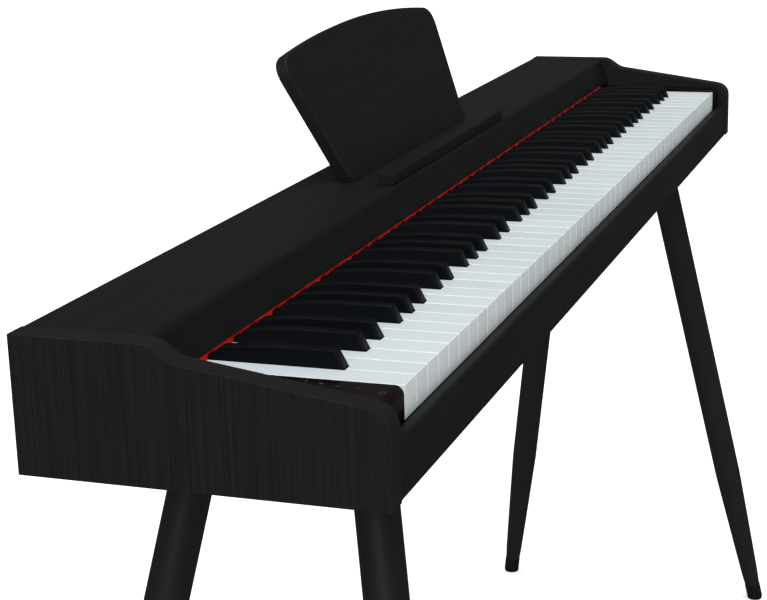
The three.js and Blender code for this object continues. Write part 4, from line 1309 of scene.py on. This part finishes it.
def white_key(name):
    """A white key, from its share of the row's left edge, its front and its top.

    Its tail leaves room for the black keys on either side.
    """
    keyboard = settings("piano_keyboard")
    note = name[-1]
    step = NOTES.index(note)
    x0, x1 = keyboard.key_gap / 2, PITCH - keyboard.key_gap / 2
    reach = SHARP_WIDTH / 2 + keyboard.sharp_gap
    previous = NOTES[step - 1]
    tail0, tail1 = x0, x1
    if previous in SHARPS and name not in ("lowest_a", "c", "highest_c"):
        tail0 = max(x0, SHARPS[previous] - step * PITCH + reach)
    if note in SHARPS and name != "highest_c":
        tail1 = min(x1, SHARPS[note] - step * PITCH - reach)
    neck = SHARP_FRONT - keyboard.sharp_gap
    corner = keyboard.white_corner
    lip = keyboard.lip
    front = [
        (x0, lip),
        *arc((x0 + corner, corner), corner, 180, 270, 4),
        *arc((x1 - corner, corner), corner, 270, 360, 4),
        (x1, lip),
    ]
    tail = [(x1, neck), (tail1, neck), (tail1, KEY_LENGTH), (tail0, KEY_LENGTH), (tail0, neck), (x0, neck)]
    if tail1 == x1:
        tail = tail[:1] + tail[2:]
    if tail0 == x0:
        tail = tail[:-2] + tail[-1:]

    solid = new_solid()

    def level(points, z):
        return [solid.verts.new((x, y, z)) for x, y in points]

    def wall(upper, lower, closed):
        for i in range(0 if closed else 1, len(upper)):
            solid.faces.new((upper[i - 1], upper[i], lower[i], lower[i - 1]))

    crown = level(front + tail, 0.0)
    belly = level(front + tail, -KEY_DEPTH)
    foot = level(front, -LIP_HEIGHT)
    solid.faces.new(crown)
    wall(crown, belly, True)
    solid.faces.new(belly[len(front) - 1 :] + belly[:1])
    wall(belly[: len(front)], foot, False)
    solid.faces.new((belly[0], belly[len(front) - 1], foot[-1], foot[0]))
    solid.faces.new(foot)
    bmesh.ops.recalc_face_normals(solid, faces=solid.faces)
    rim = [edge for edge in solid.edges if all(abs(vert.co.z) < SAME_LEVEL for vert in edge.verts)]
    return soften(solid, rim, keyboard.white_edge, 3)


def black_key():
    """A black key, from its middle, the white keys' fronts and their tops."""
    keyboard = settings("piano_keyboard")
    level_end = SHARP_FRONT + keyboard.black_slant + keyboard.black_level
    shoulder, height = keyboard.black_shoulder, keyboard.black_shoulder_height
    end, tail = keyboard.black_end, keyboard.black_tail
    bend = ((2 * end + shoulder) / 3, (9 * height + tail) / 10)
    fall = [(level_end, SHARP_HEIGHT), ((level_end + shoulder) / 2, SHARP_HEIGHT), (shoulder, height)]
    stations = [
        (SHARP_FRONT, 0.0),
        (SHARP_FRONT + keyboard.black_slant, SHARP_HEIGHT),
        *bezier(fall, 5),
        *bezier([(shoulder, height), bend, (end, tail)], 6)[1:],
        (SHARP_BACK, tail),
    ]
    taper = (SHARP_WIDTH - keyboard.black_top) / 2 / SHARP_HEIGHT
    solid = new_solid()

    def pair(y, z):
        half = SHARP_WIDTH / 2 - taper * max(z, 0.0)
        return solid.verts.new((-half, y, z)), solid.verts.new((half, y, z))

    tops = [pair(y, z) for y, z in stations]
    waist = [tops[0], pair(SHARP_BACK, 0.0)]
    feet = [pair(SHARP_FRONT, -KEY_DEPTH), pair(SHARP_BACK, -KEY_DEPTH)]
    for (left0, right0), (left1, right1) in zip(tops, tops[1:]):
        solid.faces.new((left0, right0, right1, left1))
    for hand in (0, 1):
        solid.faces.new([place[hand] for place in tops] + [waist[1][hand]])
        solid.faces.new((waist[0][hand], waist[1][hand], feet[1][hand], feet[0][hand]))
    for a, b in ((waist[0], feet[0]), (feet[0], feet[1]), (feet[1], waist[1]), (waist[1], tops[-1])):
        solid.faces.new((a[0], a[1], b[1], b[0]))
    bmesh.ops.recalc_face_normals(solid, faces=solid.faces)

    def on_top(vert):
        return vert.co.z > SAME_PLACE and vert.co.y < SHARP_BACK

    crown = [edge for edge in solid.edges if all(on_top(vert) for vert in edge.verts)]
    sides = [edge for edge in crown if edge.verts[0].co.x * edge.verts[1].co.x > 0]
    brink = stations[1][0]
    sides += [
        edge
        for edge in crown
        if abs(edge.verts[0].co.y - brink) < SAME_PLACE and edge not in sides
    ]
    slants = [
        edge
        for edge in solid.edges
        if {round(vert.co.z, 5) for vert in edge.verts} == {0.0, round(SHARP_HEIGHT, 5)}
    ]
    return soften(solid, sides + slants, keyboard.black_edge, 4)


def white_rows():
    """Each body of white keys: its name, its left edge and its keys."""
    for body in BODIES:
        if body.startswith("white_keys_octave_"):
            octave = int(body[-1])
            names, left = list(NOTES), octave_left(octave)
            if octave == 1:
                names, left = list(WHITE_NAMES[:9]), left - 2 * PITCH
            if octave == 7:
                names.append(WHITE_NAMES[-1])
            yield body, left, names
        elif body.startswith("key_") and "sharp" not in body:
            note, octave = body[4], int(body[5])
            yield body, octave_left(octave) + NOTES.index(note) * PITCH, [note]


def black_rows():
    """Each body of black keys: its name and its keys' middles."""
    for body in BODIES:
        if body.startswith("black_keys_octave_"):
            octave = int(body[-1])
            places = [octave_left(octave) + offset for offset in SHARPS.values()]
            if octave == 1:
                places.insert(0, octave_left(0) + SHARPS["a"])
            yield body, places
        elif body.startswith("key_") and "sharp" in body:
            yield body, [octave_left(int(body[-1])) + SHARPS[body[4]]]


class PIANO_OT_white_keys(bpy.types.Operator):
    """Build the fifty-two white keys, in the sets and singles that move together"""

    bl_idname = "piano.white_keys"
    bl_label = "White keys"

    def execute(self, context):
        keyboard = context.scene.piano_keyboard
        plastic = finish("white_key_plastic")
        shapes = {}
        for index, name in enumerate(WHITE_NAMES):
            shapes[name] = prototype(white_key(name), f"shape_{index:02}_{name}", plastic)
        for seed, (body, left, names) in enumerate(white_rows()):
            row = bpy.data.collections.new(f"{body} keys")
            for name in names:
                row.objects.link(shapes[name])
            bar = bpy.data.meshes.new("bar")
            if len(names) > 1:
                x0, x1 = left + keyboard.key_gap / 2, left + len(names) * PITCH - keyboard.key_gap / 2
                back = KEY_FRONT + KEY_LENGTH
                outline = rectangle(x0, x1, back - keyboard.set_bar, back - 0.0002)
                solid = prism(outline, "Z", KEY_TOP - KEY_DEPTH + 0.0002, KEY_TOP - 0.0006)
                solid.to_mesh(bar)
                solid.free()
            values = {
                "Keys": row,
                "Count": len(names),
                "Pitch": PITCH,
                "Start": (left, KEY_FRONT, KEY_TOP),
                "Height spread": keyboard.height_spread,
                "Seed": 11 + seed,
                "Finish": plastic,
            }
            mesh = grown("Keys in a row", bar, values)
            bpy.data.collections.remove(row)
            piece_name = body.replace("keys_octave", "octave").replace("key_", "white_")
            keep(mesh, piece_name, body, BODIES[body])
        discard(*shapes.values())
        return {"FINISHED"}


class PIANO_OT_black_keys(bpy.types.Operator):
    """Build the thirty-six black keys, in the sets and singles that move together"""

    bl_idname = "piano.black_keys"
    bl_label = "Black keys"

    def execute(self, context):
        keyboard = context.scene.piano_keyboard
        plastic = finish("black_key_plastic")
        shape = prototype(black_key(), "shape_black", plastic)
        ridge = frame["joints"][0]["pos_m"][1]
        for seed, (body, middles) in enumerate(black_rows()):
            bar = None
            if len(middles) > 1:
                bar_front, bar_back = ridge - keyboard.set_bar, ridge + keyboard.set_bar
                outline = rectangle(middles[0], middles[-1], bar_front, bar_back)
                top = KEY_TOP + keyboard.black_tail - 0.0004
                bar = prototype(prism(outline, "Z", KEY_TOP + 0.001, top), "shape_bar", plastic)
            places = [((x, KEY_FRONT, KEY_TOP), (0.0, 0.0, 1.0)) for x in middles]
            name = body.replace("keys_octave", "octave").replace("key_", "black_")
            at_places(name, places, shape, body, 41 + seed, bar=bar, replaced=BODIES[body])
            if bar is not None:
                discard(bar)
        discard(shape)
        return {"FINISHED"}


class PIANO_OT_felt(bpy.types.Operator):
    """Build the strip of red felt behind the keys, with its nap"""

    bl_idname = "piano.felt"
    bl_label = "Felt strip"

    def execute(self, context):
        keyboard = context.scene.piano_keyboard
        strip = new_solid()
        strip.from_mesh(frame["nodes"]["key_felt"].data)
        bmesh.ops.remove_doubles(strip, verts=strip.verts, dist=SAME_PLACE)
        bmesh.ops.dissolve_limit(strip, angle_limit=FLAT_WITHIN, verts=strip.verts, edges=strip.edges)
        softened(strip, THIN_EDGE, 2, 60)
        bmesh.ops.triangulate(strip, faces=strip.faces)
        mesh = bpy.data.meshes.new("strip")
        strip.to_mesh(mesh)
        strip.free()
        values = {
            "Density": keyboard.nap_density,
            "Length": keyboard.nap_length,
            "Seed": 5,
            "Finish": finish("red_felt"),
        }
        keep(grown("Felt nap", mesh, values), "felt_strip", CASE, ("key_felt",))
        return {"FINISHED"}


# ---------------------------------------------------------------------------------------------
# End blocks and touch panel
# ---------------------------------------------------------------------------------------------

def block_outline(node_name, radius, wall):
    """An end block from the side, or its hollow where a wall is given."""
    start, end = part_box(node_name)
    front = start.y + wall
    step = low("fallboard").y + wall
    step_top = end.z - wall
    level = KEY_TOP - (start.y - KEY_FRONT) - wall
    foot = start.z - (0.002 if wall else 0.0)
    return [
        (front, foot),
        (end.y - wall, foot),
        (end.y - wall, step_top),
        (step, step_top),
        (step, level),
        *arc((front + radius, level - radius), radius, 90, 180, 6),
    ]


# Each sign's distance from the touch panel's right edge and from its front
SYMBOL_PLACES = ((0.0171, 0.0086), (0.0121, 0.0258), (0.0114, 0.0398), (0.0088, 0.0516), (0.0058, 0.0626))


def stroke(start, end, width):
    """A straight line with round ends, as an outline."""
    a, b = Vector(start), Vector(end)
    heading = math.degrees(math.atan2(b.y - a.y, b.x - a.x))
    outline = arc(b, width / 2, heading - 90, heading + 90, 5)
    return outline + arc(a, width / 2, heading + 90, heading + 270, 5)


def ring(centre, radius, width, start=0, end=360):
    """A round line, as an outline."""
    return arc(centre, radius + width / 2, start, end, 20) + arc(centre, radius - width / 2, end, start, 20)


def symbol_outlines():
    """Plain signs for power, quieter, louder, play and tempo, each round its own middle."""
    thin = 0.0005
    return (
        [ring((0, 0), 0.0021, thin, 125, 415), stroke((0, 0.0009), (0, 0.0026), thin)],
        [stroke((-0.0018, 0), (0.0018, 0), thin)],
        [stroke((-0.0018, 0), (0.0018, 0), thin), stroke((0, -0.0018), (0, 0.0018), thin)],
        [[(-0.0013, -0.0018), (0.0019, 0.0), (-0.0013, 0.0018)]],
        [arc((x, 0.0), 0.0005, 0, 330, 11) for x in (-0.0018, 0.0, 0.0018)],
    )


class PIANO_OT_end_blocks(bpy.types.Operator):
    """Build the blocks at the keyboard's ends, the touch panel over the left one and its symbols"""

    bl_idname = "piano.end_blocks"
    bl_label = "End blocks and touch panel"

    def execute(self, context):
        keyboard = context.scene.piano_keyboard
        blocks = (
            ("left", keyboard.block_radius - keyboard.cover, "dark_moulding"),
            ("right", keyboard.block_radius, "touch_gloss"),
        )
        for side, radius, surface in blocks:
            node_name = f"{side}_end_block"
            start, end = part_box(node_name)
            wall = keyboard.block_wall
            block = prism(block_outline(node_name, radius, 0.0), "X", start.x, end.x)
            hollow = prism(block_outline(node_name, radius, wall), "X", start.x + wall, end.x - wall)
            block = softened(cut(block, hollow), 0.0004, 2, 60)
            add(block, f"block_{side}", CASE, [finish(surface)], (node_name,))

        start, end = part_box("touch_panel")
        outer, cover = keyboard.block_radius, keyboard.cover
        centre = (start.y + outer, end.z - outer)
        outline = [
            (end.y, end.z),
            *arc(centre, outer, 90, 180, 8),
            (start.y, start.z),
            (start.y + cover, start.z),
            *arc(centre, outer - cover, 180, 90, 8),
            (end.y, end.z - cover),
        ]
        panel = prism(outline, "X", start.x, end.x)
        soften(panel, sharp_edges(panel, 60), 0.0004, 3)
        add(panel, "touch_cover", CASE, [finish("touch_gloss")], ("touch_panel",))

        signs = []
        for (x, y), outlines in zip(SYMBOL_PLACES, symbol_outlines()):
            for outline in outlines:
                shown = [(end.x - x + u, start.y + y + v) for u, v in outline]
                signs.append(prism(shown, "Z", end.z - 0.0001, end.z + 0.00006))
        add(merged(*signs), "cover_symbols", CASE, [finish("symbol_print")])
        return {"FINISHED"}


# ---------------------------------------------------------------------------------------------
# Stand
# ---------------------------------------------------------------------------------------------

def leg_frame(corner):
    """A leg's own frame: its origin where its axis meets the underside, z up along it."""
    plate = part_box(f"leg_plate_{corner}")
    top = (plate[0] + plate[1]) / 2
    top.z = low("bottom_panel").z
    foot = FEET[f"foot_{corner}"]
    along = top - foot
    turn = Vector((0.0, 0.0, 1.0)).rotation_difference(along.normalized())
    return Matrix.Translation(top) @ turn.to_matrix().to_4x4(), along.length


def leg_post(stand, whole):
    """A turned leg, from just above its foot to its spigot, about its own axis."""
    seam = 0.0003
    top = -stand.boss - seam
    end = -whole + stand.foot_length + seam
    bend = -whole * stand.straight
    profile = [(0.0, end), (stand.foot_radius - 0.0012, end), (stand.foot_radius - 0.0004, end + 0.0008)]
    for step in range(1, 11):
        part = step / 10
        radius = stand.foot_radius + (stand.leg_radius - stand.foot_radius) * part ** 0.92
        profile.append((radius, end + (bend - end) * part))
    profile += [(stand.leg_radius, bend + (top - bend) * part) for part in (0.25, 0.5, 0.75)]
    profile += [(stand.leg_radius, top - 0.0016), *reversed(arc_down(stand.leg_radius, top, 0.0016))]
    profile += [(0.005, top), (0.005, top + 0.01), (0.0, top + 0.01)]
    return lathe(profile, 56)


def arc_down(radius, top, size):
    """A quarter round at the top of a turned piece, from its end face down to its side."""
    return [(radius - size + u, top - size + v) for u, v in arc((0.0, 0.0), size, 90, 0, 4)][:-1]


def rubber_foot(stand, whole):
    """A rubber foot about the leg's axis, rounded below."""
    top = -whole + stand.foot_length
    tip = -whole - 0.003
    profile = [(0.0, tip)]
    for u, v in arc((0.0, 0.0), 0.006, -90, 0, 6):
        profile.append((stand.foot_radius - 0.006 + u, tip + 0.006 + v))
    groove = tip + 0.018
    notch = ((0.0, 0.0), (0.0006, 0.0006), (0.0006, 0.0014), (0.0, 0.002))
    for depth, up in notch:
        profile.append((stand.foot_radius - depth, groove + up))
    profile += [(stand.foot_radius, top - 0.0008), (stand.foot_radius - 0.0008, top), (0.0, top)]
    return lathe(profile, 56)


class PIANO_OT_legs(bpy.types.Operator):
    """Build the four turned legs and their rubber feet"""

    bl_idname = "piano.legs"
    bl_label = "Legs and feet"

    def execute(self, context):
        stand = context.scene.piano_stand
        for corner in CORNERS:
            place, whole = leg_frame(corner)
            post = leg_post(stand, whole)
            own_places(post)
            moved(post, place)
            add(post, f"post_{corner}", CASE, [finish("satin_paint")], (f"leg_{corner}",), 30)
            foot = moved(rubber_foot(stand, whole), place)
            trimmed(foot, (0.0, 0.0, 0.0), (0.0, 0.0, 1.0))
            stands_for = (f"leg_foot_{corner}",)
            add(foot, f"foot_cap_{corner}", CASE, [finish("foot_pad")], stands_for, 30)
        return {"FINISHED"}


def turned_by(point, quarters):
    """A point turned about the origin by quarter turns."""
    u, v = point
    for _ in range(quarters):
        u, v = -v, u
    return u, v


def screw_head(radius):
    """A low screw head with a cross recess, about its own axis."""
    rise = 0.14 * radius
    profile = [(0.0, -rise), (radius, -rise), (radius, 0.25 * rise)]
    profile += [(0.7 * radius, rise), (0.0, 1.2 * rise)]
    head = lathe(profile, 20)
    width, reach = 0.16 * radius, 0.62 * radius
    quarter = [(width, width), (width, reach), (-width, reach)]
    cross = [(u, v) for turn in range(4) for u, v in (turned_by(point, turn) for point in quarter)]
    return cut(head, prism(cross, "Z", -0.6 * rise, 3 * rise))


class PIANO_OT_leg_plates(bpy.types.Operator):
    """Build the steel plates that the legs screw into"""

    bl_idname = "piano.leg_plates"
    bl_label = "Leg plates"

    def execute(self, context):
        stand = context.scene.piano_stand
        for corner in CORNERS:
            node_name = f"leg_plate_{corner}"
            start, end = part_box(node_name)
            place, _ = leg_frame(corner)
            under = end.z - 0.003
            outline = rectangle(start.x, end.x, start.y, end.y, stand.plate_corner, 6)
            plate = softened(prism(outline, "Z", under, end.z), THIN_EDGE, 2, 60)
            radius = stand.boss_radius
            profile = [(0.0, -stand.boss), (radius - 0.001, -stand.boss), (radius, -stand.boss + 0.001)]
            profile += [(radius, radius), (0.0, radius)]
            boss = moved(lathe(profile, 48), place)
            trimmed(boss, (0.0, 0.0, under + 0.001), (0.0, 0.0, -1.0))
            add(merged(plate, boss), f"plate_{corner}", CASE, [finish("zinc_steel")], (node_name,))
        return {"FINISHED"}


class PIANO_OT_screws(bpy.types.Operator):
    """Put in the screws of the plates, the bottom board and the back board"""

    bl_idname = "piano.screws"
    bl_label = "Screws"

    def execute(self, context):
        down, out = (0.0, 0.0, -1.0), (0.0, 1.0, 0.0)
        plate_places = []
        inset = 0.011
        for corner in CORNERS:
            start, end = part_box(f"leg_plate_{corner}")
            for x in (start.x + inset, end.x - inset):
                for y in (start.y + inset, end.y - inset):
                    plate_places.append(((x, y, end.z - 0.003), down))
        start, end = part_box("bottom_panel")
        board_places = []
        across = 9
        for step in range(across):
            x = start.x + 0.03 + (end.x - start.x - 0.06) * step / (across - 1)
            for y in (start.y + 0.014, end.y - 0.014):
                board_places.append(((x, y, start.z), down))
        start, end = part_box("back_panel")
        face = end.y - context.scene.piano_case.back_inset
        back_places = []
        across = 8
        for step in range(across):
            x = start.x + 0.022 + (end.x - start.x - 0.044) * step / (across - 1)
            for z in (start.z + 0.008, end.z - 0.008):
                back_places.append(((x, face, z), out))
        steel, black = finish("zinc_steel"), finish("black_screw")
        for name, places, radius, surface, seed in (
            ("plate_screws", plate_places, 0.0044, steel, 71),
            ("bottom_screws", board_places, 0.0036, black, 72),
            ("back_screws", back_places, 0.0032, black, 73),
        ):
            shape = prototype(screw_head(radius), "shape_screw", surface)
            at_places(name, places, shape, CASE, seed, spin=math.pi)
            discard(shape)
        return {"FINISHED"}


# ---------------------------------------------------------------------------------------------
# Loudspeakers, sockets and boards
# ---------------------------------------------------------------------------------------------

def facing_back(place):
    """Turns a solid that faces up so that it faces the back, and puts it in its place."""
    return Matrix.Translation(place) @ Matrix.Rotation(-math.pi / 2, 4, "X")


class PIANO_OT_speakers(bpy.types.Operator):
    """Build the two loudspeakers behind the slots"""

    bl_idname = "piano.speakers"
    bl_label = "Loudspeakers"

    def execute(self, context):
        for side in SIDES:
            node_name = f"speaker_{side}"
            start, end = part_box(node_name)
            wide, tall = (end.x - start.x) / 2, (end.z - start.z) / 2
            deep = end.y - start.y
            flange = 0.002
            rim = 0.0235
            plate = prism(rectangle(-wide, wide, -tall, tall, 0.005, 5), "Z", -flange, 0.0)
            bore = lathe([(0.0, -0.01), (rim + 0.001, -0.01), (rim + 0.001, 0.01), (0.0, 0.01)], 48)
            plate = softened(cut(plate, bore), 0.0003, 1, 60)
            basket = lathe(
                [
                    (0.0, -deep),
                    (0.019, -deep),
                    (0.020, -deep + 0.001),
                    (0.020, -deep + 0.010),
                    (0.0225, -deep + 0.0105),
                    (rim + 0.0014, -flange),
                    (rim + 0.001, -flange),
                    (0.021, -0.0168),
                    (0.0, -0.0168),
                ],
                48,
            )
            roll = [(rim - 0.0025 + u, -0.0012 + v) for u, v in arc((0, 0), 0.0022, 180, 0, 6)]
            cone = lathe(
                [
                    (0.0, -0.0085),
                    (0.004, -0.0088),
                    (0.0075, -0.0108),
                    *roll,
                    (rim + 0.0008, -0.0016),
                    (rim - 0.0046, -0.0018),
                    (0.0075, -0.0118),
                    (0.0, -0.0118),
                ],
                48,
            )
            for face in cone.faces:
                face.material_index = 1
            for face in basket.faces:
                face.material_index = 2
            seat = facing_back((middle(node_name).x, end.y, middle(node_name).z))
            driver = moved(merged(plate, basket, cone), seat)
            finishes = [finish("dark_moulding"), finish("cone_paper"), finish("zinc_steel")]
            add(driver, f"driver_{side}", CASE, finishes, (node_name,))
        return {"FINISHED"}


def socket_barrel(bore, pin, deep, body_radius, collar_radius, collar):
    """A socket about its own axis, with its mouth at z 0."""
    rim = 0.0006
    profile = [
        (0.0, -deep),
        (body_radius - rim, -deep),
        (body_radius, -deep + rim),
        (body_radius, -collar - 0.0003),
        (collar_radius, -collar - 0.0003),
        (collar_radius, -rim),
        (collar_radius - rim, 0.0),
        (bore + rim, 0.0),
        (bore, -rim),
        (bore, -deep + 0.003),
    ]
    if pin:
        profile += [(pin, -deep + 0.003), (pin, -0.0045), (pin * 0.6, -0.004), (0.0, -0.004)]
    else:
        profile.append((0.0, -deep + 0.003))
    return lathe(profile, 40)


class PIANO_OT_sockets(bpy.types.Operator):
    """Build the socket plate, the power inlet and the two jack sockets"""

    bl_idname = "piano.sockets"
    bl_label = "Sockets"

    def execute(self, context):
        start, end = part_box("socket_plate")
        names = ("dc_inlet", "headphone_socket", "pedal_socket")
        clear = 0.0003
        collar = 0.0056
        outline = rectangle(start.x, end.x, start.z, end.z, 0.002)
        plate = prism(outline, "Y", start.y, end.y)
        bores = []
        for name in names:
            bore = lathe([(0.0, -0.01), (collar + clear, -0.01), (collar + clear, 0.01), (0.0, 0.01)], 40)
            bores.append(moved(bore, facing_back((middle(name).x, end.y, middle(name).z))))
        plate = softened(cut(plate, *bores), 0.0003, 2, 60)
        moulding = finish("dark_moulding")
        add(plate, "jack_plate", CASE, [moulding], ("socket_plate",))
        for name, bore, pin in zip(names, (0.004, 0.0033, 0.0033), (0.001, 0.0, 0.0)):
            box_low, box_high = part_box(name)
            deep = box_high.y - box_low.y
            barrel = socket_barrel(bore, pin, deep, (box_high.x - box_low.x) / 2, collar, end.y - start.y)
            for face in barrel.faces:
                centre = face.calc_center_median()
                inside = math.hypot(centre.x, centre.y) < bore + 0.0001 and centre.z < -0.0006
                mouth = centre.z > -0.0002 and pin == 0.0
                face.material_index = 1 if inside or mouth else 0
            moved(barrel, facing_back((middle(name).x, box_high.y, middle(name).z)))
            finishes = [moulding, finish("tinned_contact")]
            add(barrel, f"{name}_barrel", CASE, finishes, (name,))
        screw_places = []
        for x in (start.x + 0.0095, end.x - 0.0095):
            screw_places.append(((x, end.y, (start.z + end.z) / 2), (0.0, 1.0, 0.0)))
        shape = prototype(screw_head(0.0022), "shape_screw", finish("black_screw"))
        at_places("jack_plate_screws", screw_places, shape, CASE, 74, spin=math.pi)
        discard(shape)
        return {"FINISHED"}


class PIANO_OT_inner_works(bpy.types.Operator):
    """Give the model's own inner pieces their finishes"""

    bl_idname = "piano.inner_works"
    bl_label = "Key frame, boards and pegs"

    def execute(self, context):
        surfaces = {
            "key_frame": "zinc_steel",
            "contact_board": "solder_mask",
            "main_board": "solder_mask",
            "rest_peg_left": "peg_beech",
            "rest_peg_right": "peg_beech",
        }
        for name, surface in surfaces.items():
            mesh = frame["nodes"][name].data
            mesh.materials.clear()
            mesh.materials.append(finish(surface))
        return {"FINISHED"}


# ---------------------------------------------------------------------------------------------
# Stage
# ---------------------------------------------------------------------------------------------

CAMERA_PLACE = Vector((-1.5940, -0.4509, 1.0546))


def heading(azimuth, elevation):
    """The direction for a heading from +Y towards +X and an angle upwards."""
    level = math.cos(elevation)
    return Vector((math.sin(azimuth) * level, math.cos(azimuth) * level, math.sin(elevation)))


def sun(name, direction, strength, spread, tint=(1.0, 1.0, 1.0)):
    """A soft, even light that shines along a direction."""
    data = bpy.data.lights.new(name, "SUN")
    data.energy = strength
    data.angle = math.radians(spread)
    data.color = tint
    light = bpy.data.objects.new(name, data)
    light.rotation_mode = "QUATERNION"
    light.rotation_quaternion = Vector(direction).to_track_quat("-Z", "Y")
    light.location = (0.0, 0.0, 3.0)
    bpy.context.scene.collection.objects.link(light)


class PIANO_OT_stage(bpy.types.Operator):
    """Set the camera, the soft light and the pale floor"""

    bl_idname = "piano.stage"
    bl_label = "Stage"

    def execute(self, context):
        scene = context.scene
        stage = scene.piano_stage
        data = bpy.data.cameras.new("Camera")
        data.lens = stage.lens
        data.clip_end = 50.0
        camera = bpy.data.objects.new("Camera", data)
        camera.rotation_mode = "QUATERNION"
        level = heading(stage.azimuth, stage.elevation).to_track_quat("-Z", "Y")
        camera.rotation_quaternion = level @ Quaternion((0.0, 0.0, 1.0), stage.roll)
        camera.location = CAMERA_PLACE
        scene.collection.objects.link(camera)
        scene.camera = camera

        floor = bpy.data.meshes.new("floor")
        outline = arc((0.0, 0.0), 14.0, 0, 360 - 360 / 48, 47)
        floor.from_pydata([(x, y, -0.0004) for x, y in outline], [], [list(range(len(outline)))])
        made, tree, shader = new_material("pale_floor", {"Specular IOR Level": 0.1, "Roughness": 0.8})
        patches = noise(tree, placed_vector(tree), 1.4, 3.0)
        deeper = shaded(stage.floor, 0.985)
        tree.links.new(blended(tree, patches, deeper, stage.floor), shader.inputs["Base Color"])
        shader.inputs["Emission Color"].default_value = (1.0, 1.0, 1.0, 1.0)
        seen_only = node(tree, "ShaderNodeLightPath").outputs["Is Camera Ray"]
        glow = maths(tree, "MULTIPLY", seen_only, stage.floor_lift)
        tree.links.new(glow, shader.inputs["Emission Strength"])
        floor.materials.append(made)
        ground = bpy.data.objects.new("floor", floor)
        ground.visible_glossy = False
        scene.collection.objects.link(ground)

        sun("Overhead", (0.30, 0.12, -1.0), stage.overhead, 50, (0.93, 0.98, 1.0))
        sun("Side", (1.0, 0.14, -0.45), stage.side, 40)

        world = bpy.data.worlds.new("Studio")
        scene.world = world
        world.use_nodes = True
        tree = world.node_tree
        tree.nodes.clear()
        white = (1.0, 1.0, 1.0, 1.0)
        seen = node(tree, "ShaderNodeBackground", {"Color": white, "Strength": 1.0})
        sky = node(tree, "ShaderNodeBackground", {"Color": white, "Strength": stage.sky})
        mirrored = node(tree, "ShaderNodeBackground", {"Color": white, "Strength": stage.mirrored})
        path = node(tree, "ShaderNodeLightPath").outputs
        around = {0: path["Is Glossy Ray"], 1: sky.outputs[0], 2: mirrored.outputs[0]}
        unseen = node(tree, "ShaderNodeMixShader", around)
        behind = {0: path["Is Camera Ray"], 1: unseen.outputs[0], 2: seen.outputs[0]}
        either = node(tree, "ShaderNodeMixShader", behind)
        node(tree, "ShaderNodeOutputWorld", {"Surface": either.outputs[0]})
        scene.view_settings.view_transform = "Standard"
        return {"FINISHED"}


# ---------------------------------------------------------------------------------------------
# Panel and registration
# ---------------------------------------------------------------------------------------------

OPERATORS = (
    PIANO_OT_cheeks,
    PIANO_OT_top,
    PIANO_OT_rail,
    PIANO_OT_lower_boards,
    PIANO_OT_music_rest,
    PIANO_OT_ledge,
    PIANO_OT_white_keys,
    PIANO_OT_black_keys,
    PIANO_OT_felt,
    PIANO_OT_end_blocks,
    PIANO_OT_legs,
    PIANO_OT_leg_plates,
    PIANO_OT_screws,
    PIANO_OT_speakers,
    PIANO_OT_sockets,
    PIANO_OT_inner_works,
    PIANO_OT_stage,
)


class PIANO_PT_pieces(bpy.types.Panel):
    """Sizes, colours and a button for each group of pieces"""

    bl_idname = "PIANO_PT_pieces"
    bl_label = "Digital piano"
    bl_space_type = "VIEW_3D"
    bl_region_type = "UI"
    bl_category = "Piano"

    def draw(self, context):
        layout = self.layout
        for pointer, group in SETTINGS.items():
            box = layout.box()
            box.label(text=group.__doc__)
            for name in group.__annotations__:
                box.prop(getattr(context.scene, pointer), name)
        for operator in OPERATORS:
            layout.operator(operator.bl_idname)


def register():
    for group in SETTINGS.values():
        bpy.utils.register_class(group)
    for operator in OPERATORS:
        bpy.utils.register_class(operator)
    bpy.utils.register_class(PIANO_PT_pieces)
    for pointer, group in SETTINGS.items():
        setattr(bpy.types.Scene, pointer, bpy.props.PointerProperty(type=group))


def unregister():
    for pointer in SETTINGS:
        delattr(bpy.types.Scene, pointer)
    bpy.utils.unregister_class(PIANO_PT_pieces)
    for operator in reversed(OPERATORS):
        bpy.utils.unregister_class(operator)
    for group in reversed(list(SETTINGS.values())):
        bpy.utils.unregister_class(group)


def main():
    register()
    for operator in OPERATORS:
        getattr(bpy.ops.piano, operator.bl_idname.split(".")[1])()


if __name__ == "__main__":
    main()
